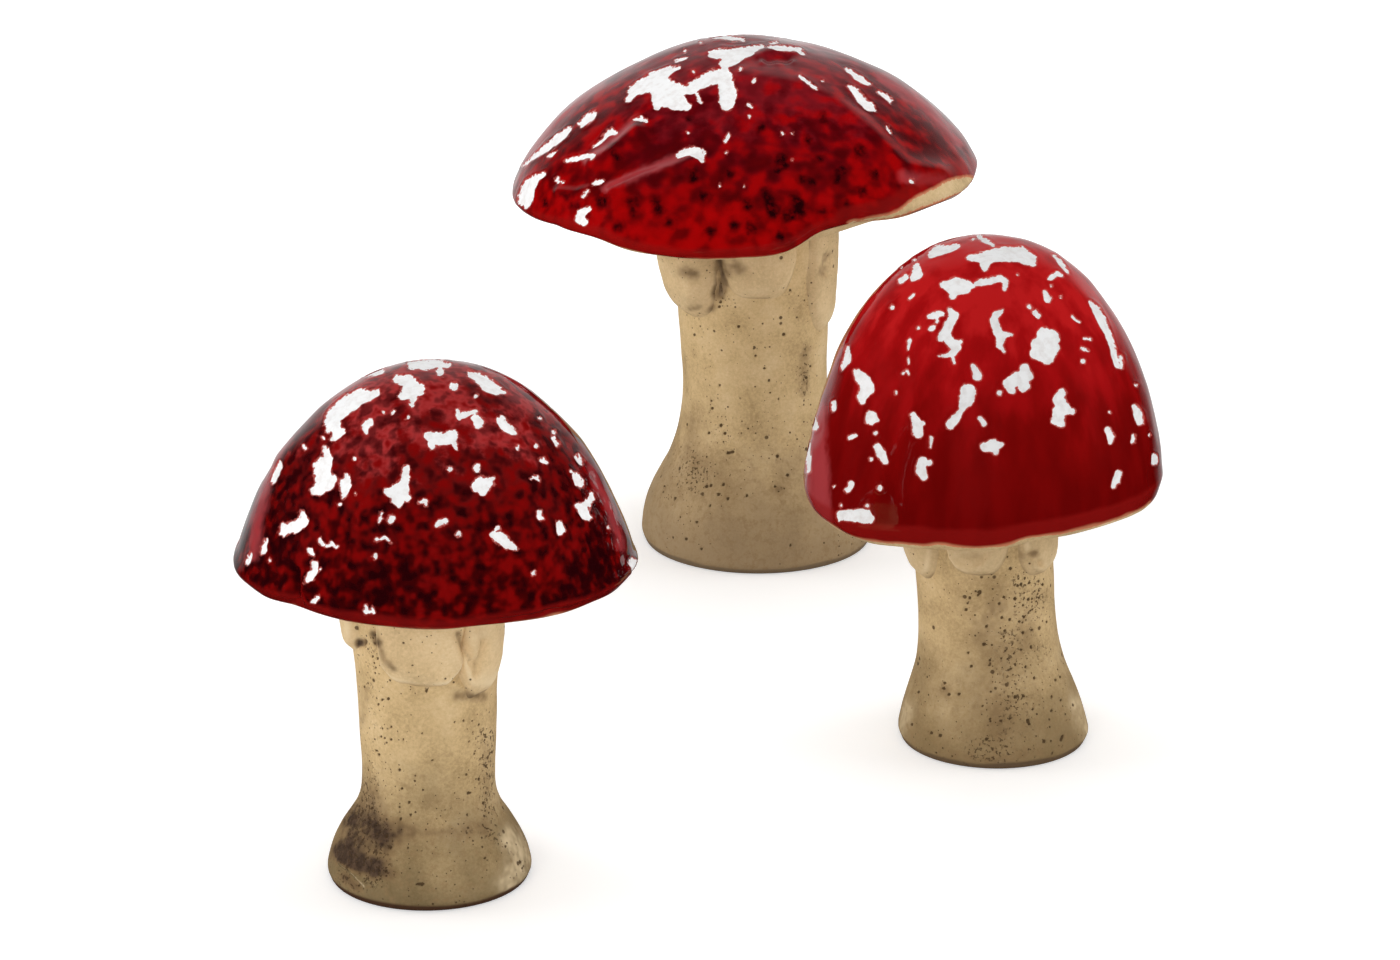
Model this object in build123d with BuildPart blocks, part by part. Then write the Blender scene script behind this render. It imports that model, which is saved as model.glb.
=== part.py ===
from build123d import *

import os
from dataclasses import dataclass
from math import cos, hypot, pi, radians, sin

# A set of three hand-built stoneware mushrooms that stand loose on one surface.
# Each has a hollow stem, a domed cap shell, a slab that closes the cap underneath, and wads of
# soft clay that were pressed into the corner between stem and slab before firing.
# Sizes are in millimetres. +Z is up, +Y is away from the viewer, and the origin is on the
# surface, under the middle of the set. Bearings run anticlockwise from +X, seen from above.

# Shared by all three
SLAB_RECESS = 2.0         # underside of the slab above the widest line of the cap
SLAB_THICKNESS = 8.0
VENT_RADIUS = 1.5         # pin hole that lets the cap's hollow breathe in the kiln
FOOT_ROUNDING = 3.0       # lower edge of a stem
FOOT_SPARE = 4.0          # a stem's outline runs on this far below the floor, where it is cut flat
THROAT_SHARE = 0.33       # where a stem is measured between its waist and its top
CROWN_RING = 0.12         # smallest ring of a cap, as a share of its rim
RING_POINTS = 16          # points on each ring of a cap
THUMB_RADIUS = 8.0        # end of the thumb that pressed the wads home
THUMB_DROP = 30.0         # middle of a thumb mark below the slab
WAD_SIDES = ("front", "right", "left", "back")   # order of the wads in the lists below

# Domed mushroom, front left
DOMED_X = -82.3
DOMED_Y = -153.7
DOMED_FOOT_RADIUS = 30.4
DOMED_FLARE_HEIGHT = 12.0
DOMED_FLARE_RADIUS = 26.6
DOMED_ANKLE_RISE = 12.0
DOMED_ANKLE_RADIUS = 19.9
DOMED_WAIST_RISE = 14.0
DOMED_WAIST_RADIUS = 19.1
DOMED_THROAT_RADIUS = 20.1
DOMED_NECK_RADIUS = 21.5
DOMED_LEAN = 0.4
DOMED_STEM_WALL = 6.5
DOMED_RIM_LEVEL = 94.0
DOMED_CAP_RISE = 59.5
DOMED_CAP_RADIUS = 56.0
DOMED_CAP_WALL = 8.0
DOMED_LIP_DROP = 4.0
DOMED_CAP_SHIFT = 3.4
DOMED_SHOULDER = 2.0
DOMED_CROWN = 1.45
DOMED_RIM_OUT = (0.0, 0.0, -1.0, 0.0, 0.5, -3.5, -4.5, -4.0)
DOMED_RIM_UP = (-0.5, 0.5, 1.0, 1.0, 1.0, 2.8, 3.2, 1.5)
DOMED_WAD_BEARINGS = (268, 320, 190, 95)
DOMED_WAD_HALF_WIDTHS = (13.0, 8.5, 6.5, 15.0)
DOMED_WAD_THICKNESSES = (5.0, 3.3, 4.0, 5.0)
DOMED_WAD_LENGTHS = (31.0, 36.0, 26.0, 28.0)

# Bell mushroom, right
BELL_X = 85.4
BELL_Y = -49.6
BELL_FOOT_RADIUS = 29.8
BELL_FLARE_HEIGHT = 12.0
BELL_FLARE_RADIUS = 26.9
BELL_ANKLE_RISE = 14.0
BELL_ANKLE_RADIUS = 22.4
BELL_WAIST_RISE = 16.0
BELL_WAIST_RADIUS = 20.8
BELL_THROAT_RADIUS = 21.0
BELL_NECK_RADIUS = 22.0
BELL_LEAN = -5.4
BELL_STEM_WALL = 6.5
BELL_RIM_LEVEL = 81.0
BELL_CAP_RISE = 78.5
BELL_CAP_RADIUS = 53.7
BELL_CAP_WALL = 8.0
BELL_LIP_DROP = 4.0
BELL_CAP_SHIFT = -4.3
BELL_SHOULDER = 2.0
BELL_CROWN = 1.8
BELL_RIM_OUT = (0.0, 0.0, 0.0, 0.0, 0.0, 0.5, -0.5, -2.0)
BELL_RIM_UP = (1.0, 1.0, 0.0, -0.5, -0.5, -1.5, 1.5, 3.0)
BELL_WAD_BEARINGS = (261, 322, 200, 85)
BELL_WAD_HALF_WIDTHS = (9.5, 9.0, 11.0, 14.0)
BELL_WAD_THICKNESSES = (4.5, 3.2, 4.4, 5.0)
BELL_WAD_LENGTHS = (22.0, 26.0, 27.0, 25.0)

# Broad mushroom, at the back
BROAD_X = 15.0
BROAD_Y = 128.4
BROAD_FOOT_RADIUS = 39.2
BROAD_FLARE_HEIGHT = 15.0
BROAD_FLARE_RADIUS = 37.2
BROAD_ANKLE_RISE = 16.0
BROAD_ANKLE_RADIUS = 29.0
BROAD_WAIST_RISE = 33.0
BROAD_WAIST_RADIUS = 24.3
BROAD_THROAT_RADIUS = 25.2
BROAD_NECK_RADIUS = 26.5
BROAD_LEAN = -2.5
BROAD_STEM_WALL = 7.5
BROAD_RIM_LEVEL = 126.0
BROAD_CAP_RISE = 47.0
BROAD_CAP_RADIUS = 77.0
BROAD_CAP_WALL = 9.0
BROAD_LIP_DROP = 4.0
BROAD_CAP_SHIFT = -4.5
BROAD_SHOULDER = 1.7
BROAD_CROWN = 1.4
BROAD_RIM_OUT = (0.0, 0.0, 0.0, 0.0, 0.0, -2.5, -3.0, -3.0)
BROAD_RIM_UP = (4.5, 6.5, 5.0, 1.0, -4.0, -3.0, -2.5, 5.0)
BROAD_WAD_BEARINGS = (274, 338, 213, 95)
BROAD_WAD_HALF_WIDTHS = (13.0, 10.5, 13.0, 16.0)
BROAD_WAD_THICKNESSES = (4.2, 2.8, 9.0, 6.0)
BROAD_WAD_LENGTHS = (34.0, 53.0, 42.0, 36.0)
BROAD_THUMB_DEPTHS = (0.0, 0.0, 2.5, 0.0)

# Rings of a cap from the crown down to its widest line, and back up inside
OUTER_SHARES = (CROWN_RING, 0.22, 0.36, 0.52, 0.68, 0.83, 0.94, 1.0)
INNER_SHARES = (1.0, 0.9, 0.72, 0.45, CROWN_RING)

# Sections of a wad from its lower end up: share of its length, then of its width and thickness
WAD_SECTIONS = ((0.0, 0.5, 0.2), (0.15, 0.85, 0.75), (0.5, 1.0, 1.0), (1.0, 1.15, 1.3))


@dataclass
class Mushroom:
    """The driving sizes of one mushroom, and the lines that its pieces share."""

    name: str
    x: float
    y: float
    foot_radius: float
    flare_height: float
    flare_radius: float
    ankle_rise: float
    ankle_radius: float
    waist_rise: float
    waist_radius: float
    throat_radius: float
    neck_radius: float
    lean: float               # how far the stem's top is to the right of its foot
    stem_wall: float
    rim_level: float          # mean height of the cap's widest line
    cap_rise: float           # crown above that line
    cap_radius: float
    cap_wall: float
    lip_drop: float           # rounded lip below that line
    cap_shift: float          # how far the cap's middle is to the right of the foot
    shoulder: float           # exponents of the dome's outline
    crown: float
    rim_out: tuple            # uneven rim: distance out and height at even bearings from +X
    rim_up: tuple
    wad_bearings: tuple
    wad_half_widths: tuple
    wad_thicknesses: tuple
    wad_lengths: tuple
    thumb_depths: tuple = (0.0, 0.0, 0.0, 0.0)

    def __post_init__(self):
        self.base = Plane((self.x, self.y, 0))
        self.slab_level = self.rim_level + SLAB_RECESS
        self.stem_top = self.slab_level + SLAB_THICKNESS / 2
        self.stem_axis = Axis((self.x, self.y, 0), (self.lean, 0, self.stem_top))
        self.stem_plane = Plane(
            (self.x, self.y, 0),
            x_dir=(self.stem_top, 0, -self.lean),
            z_dir=(0, -1, 0),
        )
        right, back, left, front = (self.rim_up[k] for k in (0, 2, 4, 6))
        self.slope_x = (right - left) / (2 * self.cap_radius)
        self.slope_y = (back - front) / (2 * self.cap_radius)
        self.slab_plane = Plane(
            (self.x + self.cap_shift, self.y, self.slab_level),
            x_dir=(1, 0, self.slope_x),
            z_dir=(-self.slope_x, -self.slope_y, 1),
        )

    def stem_stations(self):
        """Height and outer radius where the stem's outline turns, from below the floor up."""
        spare = FOOT_SPARE + abs(self.lean) * self.foot_radius / self.stem_top
        splay = (self.foot_radius - self.flare_radius) / self.flare_height
        ankle = self.flare_height + self.ankle_rise
        waist = ankle + self.waist_rise
        throat = waist + (self.stem_top - waist) * THROAT_SHARE
        return (
            (-spare, self.foot_radius + splay * spare),
            (0.0, self.foot_radius),
            (self.flare_height, self.flare_radius),
            (ankle, self.ankle_radius),
            (waist, self.waist_radius),
            (throat, self.throat_radius),
            (self.stem_top, self.neck_radius),
        )

    def stem_middle(self, height):
        """How far right of the foot's middle the leaning stem's middle is at a height."""
        return self.lean * height / self.stem_top

    def on_stem(self, bearing, height, proud=0.0):
        """A point on the stem's outside, or proud of it, about the foot's middle."""
        stations = self.stem_stations()
        above = next(k for k, (h, _) in enumerate(stations) if h >= height or h == self.stem_top)
        (low, low_radius), (high, high_radius) = stations[above - 1], stations[above]
        radius = low_radius + (high_radius - low_radius) * (height - low) / (high - low)
        out = radius + proud
        across = self.stem_middle(height) + out * cos(radians(bearing))
        return across, out * sin(radians(bearing))

    def rim(self):
        """Points round the widest line of the cap, about its own middle and mean height."""
        with BuildLine() as line:
            points = []
            for k, (out, up) in enumerate(zip(self.rim_out, self.rim_up)):
                bearing = 2 * pi * k / len(self.rim_out)
                radius = self.cap_radius + out
                points.append((radius * cos(bearing), radius * sin(bearing), up))
            Spline(*points, periodic=True)
        return [line.edge() @ (k / RING_POINTS) for k in range(RING_POINTS)]

    def ring(self, points):
        """A closed smooth ring through points about the cap's own middle."""
        with BuildLine(self.base) as line:
            Spline(*[(x + self.cap_shift, y, z) for x, y, z in points], periodic=True)
        return line.wire()

    def dome_height(self, share):
        """The dome's outline: share of the rise at a share of the rim's distance out."""
        return max(0.0, 1 - share**self.shoulder) ** (1 / self.crown)

    def dome_ring(self, share, inset):
        """A ring on the dome, at a share of the rim's distance out, inset from its outside."""
        height = self.dome_height(share)
        wave = (share - CROWN_RING) / (1 - CROWN_RING) * (1 - height)
        level = self.rim_level + (self.cap_rise - inset) * height
        points = []
        for p in self.rim():
            scale = share * (1 - inset / hypot(p.X, p.Y))
            points.append((p.X * scale, p.Y * scale, level + p.Z * wave))
        return self.ring(points)

    def lip_ring(self):
        """The lowest line of the rounded lip, half way through the wall."""
        points = []
        for p in self.rim():
            scale = 1 - self.cap_wall / 2 / hypot(p.X, p.Y)
            points.append((p.X * scale, p.Y * scale, self.rim_level + p.Z - self.lip_drop))
        return self.ring(points)


@dataclass
class Wad:
    """One wad of luting clay in the corner between a stem and the slab over it."""

    side: str
    bearing: float
    half_width: float
    thickness: float
    length: float
    thumb_depth: float


def make_cap(m):
    """The cap: a shell from the crown down to the rounded lip and up again inside."""
    lip = m.lip_ring()
    outside = [m.dome_ring(share, 0.0) for share in OUTER_SHARES] + [lip]
    inside = [lip] + [m.dome_ring(share, m.cap_wall) for share in INNER_SHARES]
    skins = [*Shell.make_loft(outside).faces(), *Shell.make_loft(inside).faces()]
    ends = [Face(outside[0]), Face(inside[-1])]
    with BuildPart() as cap:
        add(Solid(Shell(skins + ends)))
    return cap.part


def make_underside(m, cap):
    """The slab that closes the cap underneath, cut to the inside of the cap's wall."""
    top_share = (1 - ((SLAB_RECESS + SLAB_THICKNESS) / m.cap_rise) ** m.crown) ** (1 / m.shoulder)
    outline = []
    for p in m.rim():
        scale = top_share - m.cap_wall / 3 / hypot(p.X, p.Y)
        outline.append((p.X * scale, p.Y * scale))
    with BuildPart() as slab:
        with BuildSketch(m.slab_plane):
            with BuildLine():
                Spline(*outline, periodic=True)
            make_face()
            with Locations((m.stem_middle(m.slab_level) - m.cap_shift, 0)):
                Circle(VENT_RADIUS, mode=Mode.SUBTRACT)
        extrude(amount=SLAB_THICKNESS)
        add(cap, mode=Mode.SUBTRACT)
    return slab.part


def make_stem_blank(m, inset=0.0):
    """The stem's outline, inset from its outside, turned about its leaning axis."""
    with BuildPart() as blank:
        with BuildSketch(m.stem_plane):
            with BuildLine():
                side = Spline(*[(radius - inset, height) for height, radius in m.stem_stations()])
                Polyline(side @ 1, (0, (side @ 1).Y), (0, (side @ 0).Y), side @ 0)
            make_face()
        revolve(axis=m.stem_axis)
        split(bisect_by=Plane.XY, keep=Keep.TOP)
    return blank.part


def make_room_above(m):
    """The room from the underside of the slab up, which stem and wads stay out of."""
    with BuildPart() as room:
        with BuildSketch(m.slab_plane):
            Circle(m.cap_radius)
        extrude(amount=SLAB_THICKNESS * 2)
    return room.part


def make_stem(m, blank, room):
    """The hollow stem, open at the foot and butted against the slab."""
    with BuildPart() as stem:
        add(blank)
        fillet(stem.edges().sort_by(Axis.Z)[0], FOOT_ROUNDING)
        add(make_stem_blank(m, m.stem_wall), mode=Mode.SUBTRACT)
        add(room, mode=Mode.SUBTRACT)
    return stem.part


def make_wad(m, wad, around):
    """A tongue of clay pressed up against the slab and smeared down the stem."""
    x, y = m.on_stem(wad.bearing, m.slab_level)
    slab_level = m.slab_level + m.slope_x * (x - m.cap_shift) + m.slope_y * y
    bottom = slab_level - wad.length
    top = slab_level + SLAB_THICKNESS / 2
    with BuildPart() as lump:
        for share, width, thickness in WAD_SECTIONS:
            height = bottom + (top - bottom) * share
            with BuildSketch(m.base.offset(height)):
                with Locations(Location(m.on_stem(wad.bearing, height), wad.bearing)):
                    Ellipse(wad.thickness * thickness, wad.half_width * width)
        loft()
        if wad.thumb_depth > 0:
            height = slab_level - THUMB_DROP
            proud = wad.thickness + THUMB_RADIUS - wad.thumb_depth
            x, y = m.on_stem(wad.bearing, height, proud)
            with Locations(m.base.from_local_coords(Vector(x, y, height))):
                Sphere(THUMB_RADIUS, mode=Mode.SUBTRACT)
        for solid in around:
            add(solid, mode=Mode.SUBTRACT)
    return lump.part


def make_mushroom(m):
    """Makes every piece of one mushroom and writes each under its own name."""
    cap = make_cap(m)
    blank = make_stem_blank(m)
    room = make_room_above(m)
    pieces = {"cap": cap, "underside": make_underside(m, cap), "stem": make_stem(m, blank, room)}
    around = [blank, room]
    sizes = (m.wad_bearings, m.wad_half_widths, m.wad_thicknesses, m.wad_lengths, m.thumb_depths)
    for wad in map(Wad, WAD_SIDES, *sizes):
        piece = make_wad(m, wad, around)
        pieces[f"wad_{wad.side}"] = piece
        around.append(piece)
    for name, piece in pieces.items():
        piece.label = f"{m.name}_{name}"
        export_step(piece, f"parts/{piece.label}.step")


os.makedirs("parts", exist_ok=True)

domed = Mushroom(
    "domed", DOMED_X, DOMED_Y, DOMED_FOOT_RADIUS, DOMED_FLARE_HEIGHT, DOMED_FLARE_RADIUS,
    DOMED_ANKLE_RISE, DOMED_ANKLE_RADIUS, DOMED_WAIST_RISE, DOMED_WAIST_RADIUS,
    DOMED_THROAT_RADIUS, DOMED_NECK_RADIUS, DOMED_LEAN, DOMED_STEM_WALL,
    DOMED_RIM_LEVEL, DOMED_CAP_RISE, DOMED_CAP_RADIUS, DOMED_CAP_WALL, DOMED_LIP_DROP,
    DOMED_CAP_SHIFT, DOMED_SHOULDER, DOMED_CROWN, DOMED_RIM_OUT, DOMED_RIM_UP,
    DOMED_WAD_BEARINGS, DOMED_WAD_HALF_WIDTHS, DOMED_WAD_THICKNESSES, DOMED_WAD_LENGTHS,
)
bell = Mushroom(
    "bell", BELL_X, BELL_Y, BELL_FOOT_RADIUS, BELL_FLARE_HEIGHT, BELL_FLARE_RADIUS,
    BELL_ANKLE_RISE, BELL_ANKLE_RADIUS, BELL_WAIST_RISE, BELL_WAIST_RADIUS,
    BELL_THROAT_RADIUS, BELL_NECK_RADIUS, BELL_LEAN, BELL_STEM_WALL,
    BELL_RIM_LEVEL, BELL_CAP_RISE, BELL_CAP_RADIUS, BELL_CAP_WALL, BELL_LIP_DROP,
    BELL_CAP_SHIFT, BELL_SHOULDER, BELL_CROWN, BELL_RIM_OUT, BELL_RIM_UP,
    BELL_WAD_BEARINGS, BELL_WAD_HALF_WIDTHS, BELL_WAD_THICKNESSES, BELL_WAD_LENGTHS,
)
broad = Mushroom(
    "broad", BROAD_X, BROAD_Y, BROAD_FOOT_RADIUS, BROAD_FLARE_HEIGHT, BROAD_FLARE_RADIUS,
    BROAD_ANKLE_RISE, BROAD_ANKLE_RADIUS, BROAD_WAIST_RISE, BROAD_WAIST_RADIUS,
    BROAD_THROAT_RADIUS, BROAD_NECK_RADIUS, BROAD_LEAN, BROAD_STEM_WALL,
    BROAD_RIM_LEVEL, BROAD_CAP_RISE, BROAD_CAP_RADIUS, BROAD_CAP_WALL, BROAD_LIP_DROP,
    BROAD_CAP_SHIFT, BROAD_SHOULDER, BROAD_CROWN, BROAD_RIM_OUT, BROAD_RIM_UP,
    BROAD_WAD_BEARINGS, BROAD_WAD_HALF_WIDTHS, BROAD_WAD_THICKNESSES, BROAD_WAD_LENGTHS,
    BROAD_THUMB_DEPTHS,
)

for mushroom in (domed, bell, broad):
    make_mushroom(mushroom)
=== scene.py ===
import math

import bpy
import numpy as np
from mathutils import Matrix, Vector
from mathutils.bvhtree import BVHTree


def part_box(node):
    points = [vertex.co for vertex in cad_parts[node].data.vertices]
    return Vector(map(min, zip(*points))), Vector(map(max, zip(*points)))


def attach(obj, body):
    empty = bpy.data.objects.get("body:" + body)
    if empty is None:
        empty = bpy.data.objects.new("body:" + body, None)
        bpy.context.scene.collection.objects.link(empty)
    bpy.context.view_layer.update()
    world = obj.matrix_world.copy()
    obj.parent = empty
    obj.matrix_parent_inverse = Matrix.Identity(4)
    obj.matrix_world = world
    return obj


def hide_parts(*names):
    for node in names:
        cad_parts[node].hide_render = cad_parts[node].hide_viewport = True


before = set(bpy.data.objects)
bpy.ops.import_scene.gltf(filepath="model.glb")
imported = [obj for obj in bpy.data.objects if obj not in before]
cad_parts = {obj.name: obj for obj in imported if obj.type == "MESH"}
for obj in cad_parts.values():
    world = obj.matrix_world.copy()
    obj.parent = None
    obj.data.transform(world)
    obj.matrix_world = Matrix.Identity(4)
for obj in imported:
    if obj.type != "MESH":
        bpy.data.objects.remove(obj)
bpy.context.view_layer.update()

# Three glazed stoneware mushrooms on a white floor. Sizes are in metres, in the frame's own axes.
MM = 0.001
TURN = 2 * math.pi
UP = np.array((0.0, 0.0, 1.0))
LEVEL = np.array((1.0, 1.0, 0.0))
FAR = 0.3                                # further out than any cap or stem reaches

# Camera that took the photograph, 1400 by 960 pixels
CAMERA_AT = np.array((-0.0044, -1.5439, 0.612))
CAMERA_PITCH = math.radians(19.5)        # looking down
CAMERA_LENS = 135.0
SENSOR_WIDTH = 36.0
PHOTO_SIZE = (1400, 960)
FOCAL_PIXELS = CAMERA_LENS / SENSOR_WIDTH * PHOTO_SIZE[0]

# Fineness of the meshes
CAP_CELLS = 360                          # squares across a cap's grid
RIM_WAVES = (12, 8, 4)                   # waves kept in the rim's radius, height and wall
RING_WAVES = 48                          # waves kept around a cap's widest ring
RING_EVENING = 45                        # passes of evening out from ring to ring
LIP_RINGS = 24
LIP_REACH = 0.03                         # further than a lip is thick
LIP_EVENING = 12
INNER_RINGS = 16
INNER_WAVES = 24                         # waves kept around a cap's hollow
STEM_WAVES = 16                          # waves kept around a stem
STEM_SPACING = 0.45 * MM
WAD_SPACING = 0.5 * MM
WAD_MARGIN = 3 * MM                      # smear around a wad's box
WAD_DEPTH = 3.2 * MM                     # how far a wad's back lies inside the stem
WAD_SUNK = -0.9 * MM                     # a wad's thickness where its clay has ended

# Unevenness of hand-worked clay: the height and size of each kind of lump (mm)
CAP_LUMPS = ((0.65, 27), (0.24, 11), (0.05, 4.5))
STEM_LUMPS = ((0.30, 19), (0.14, 7))
WAD_LUMPS = ((0.35, 9), (0.13, 3.5))

# Rounded edge under a foot: inward and up (mm)
FOOT_EDGE = ((0.15, 0.7), (0.45, 0.25), (1.0, 0.0), (2.4, 0.0))

# Pits in a stem: their depth, and how many there are on the far side
PIT_DEPTH = 0.7 * MM
HIDDEN_PITS = 60

# Depth of the crawled glaze, and the roll at its torn edge
GLAZE_DEPTH = 0.32 * MM
GLAZE_ROLL = 0.10 * MM

# Bare white patches where the glaze crawled back. Each is a dot or a stroke through pixels of the
# photograph: across, down and half width.
DOMED_PATCHES = [
    [(412, 365, 4), (425, 364, 5), (438, 363, 4), (448, 365, 2)], (440, 371, 4),
    [(366, 374, 3), (380, 369, 4)],
    [(397, 379, 4), (408, 380, 6), (418, 388, 7), (408, 391, 7), (402, 396, 4)],
    [(414, 395, 3), (412, 405, 2)],
    [(376, 393, 4), (362, 398, 7), (347, 406, 9), (336, 417, 8), (334, 427, 6), (330, 433, 2)],
    [(336, 427, 7), (341, 433, 4), (334, 440, 2.5)], [(370, 423, 3.5), (365, 428, 3), (366, 432, 2)],
    [(327, 449, 1.5), (327, 459, 5), (322, 470, 9), (324, 482, 9), (313, 491, 4)], (331, 478, 4),
    (318, 488, 6), [(346, 475, 2.5), (344, 484, 6), (343, 493, 4), (342, 497, 1.5)], (340, 481, 3),
    [(283, 466, 3), (277, 474, 4), (273, 480, 3)],
    [(301, 512, 2), (303, 520, 4.5), (295, 526, 5.5), (285, 528, 5.5), (281, 533, 3)],
    [(407, 470, 4), (405, 480, 4), (401, 491, 8), (399, 500, 6.5), (399, 506, 2)],
    [(388, 493, 3), (394, 494, 5)], (407, 498, 4), [(428, 437, 5), (440, 439, 7), (452, 437, 6)],
    (432, 446, 4), [(455, 443, 2.5), (457, 451, 1)],
    [(458, 410, 2), (460, 416, 3), (470, 412, 2), (475, 411, 2)],
    [(474, 418, 4), (478, 422, 5), (478, 426, 3)],
    [(470, 374, 3), (480, 378, 5), (488, 385, 7), (498, 390, 5), (504, 392, 2)], (454, 386, 4.5),
    (475, 395, 2), [(500, 419, 3.5), (505, 426, 5.5), (512, 432, 3.5), (515, 434, 1.5)],
    [(480, 485, 7), (482, 491, 6), (476, 487, 5), (488, 484, 5), (491, 480, 2)],
    [(475, 468, 3), (477, 472, 2)], (449, 469, 2.5),
    [(493, 534, 3), (499, 538, 6), (507, 545, 5), (515, 549, 2)], (496, 529, 2.5),
    [(583, 508, 6), (586, 514, 5), (590, 517, 3)], [(591, 494, 2), (592, 499, 3), (588, 503, 4)],
    (577, 506, 3), [(575, 475, 3), (579, 482, 4.5), (580, 487, 2)], (571, 471, 1.5),
    [(541, 460, 2), (545, 463, 2)], [(559, 525, 3.5), (560, 530, 4.5)], [(538, 513, 2.5), (539, 519, 2.5)],
    (516, 449, 2), (536, 446, 2), [(554, 437, 1.5), (558, 444, 2)], (555, 432, 2), (540, 418, 1.8),
    [(577, 456, 2), (581, 462, 2)], [(530, 480, 1), (533, 477, 1.5), (538, 479, 2)],
    [(438, 525, 2.5), (444, 521, 3)], (458, 534, 2.5), [(420, 503, 1.5), (425, 502, 2.5), (426, 505, 1.5)],
    [(393, 518, 3), (391, 521, 3)], [(383, 514, 1.5), (381, 523, 1.5)],
    [(377, 540, 1.5), (384, 538, 2), (390, 543, 1)], (374, 556, 2),
    [(313, 563, 3), (314, 570, 4), (309, 577, 4), (306, 581, 2)], (319, 568, 1.5),
    [(314, 601, 2.5), (318, 598, 2)], [(366, 607, 1.5), (367, 613, 2), (373, 612, 1.5), (372, 607, 1)],
    [(326, 545, 1.5), (331, 543, 2.5), (336, 546, 1.5)], [(320, 539, 1.5), (322, 543, 1.5)],
    [(309, 550, 3), (311, 553, 2.5)], [(264, 540, 2), (262, 548, 3), (261, 552, 2)],
    [(249, 556, 2.5), (247, 562, 2)], (268, 560, 1.5), (338, 504, 1.8), (353, 458, 1.5), (354, 494, 1.2),
    (308, 450, 1.8), (326, 441, 1.2), (393, 412, 2.2), (384, 412, 1.5), (408, 419, 2), (533, 573, 2),
    (609, 527, 1.5), [(633, 562, 4), (635, 572, 4)],
]
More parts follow.
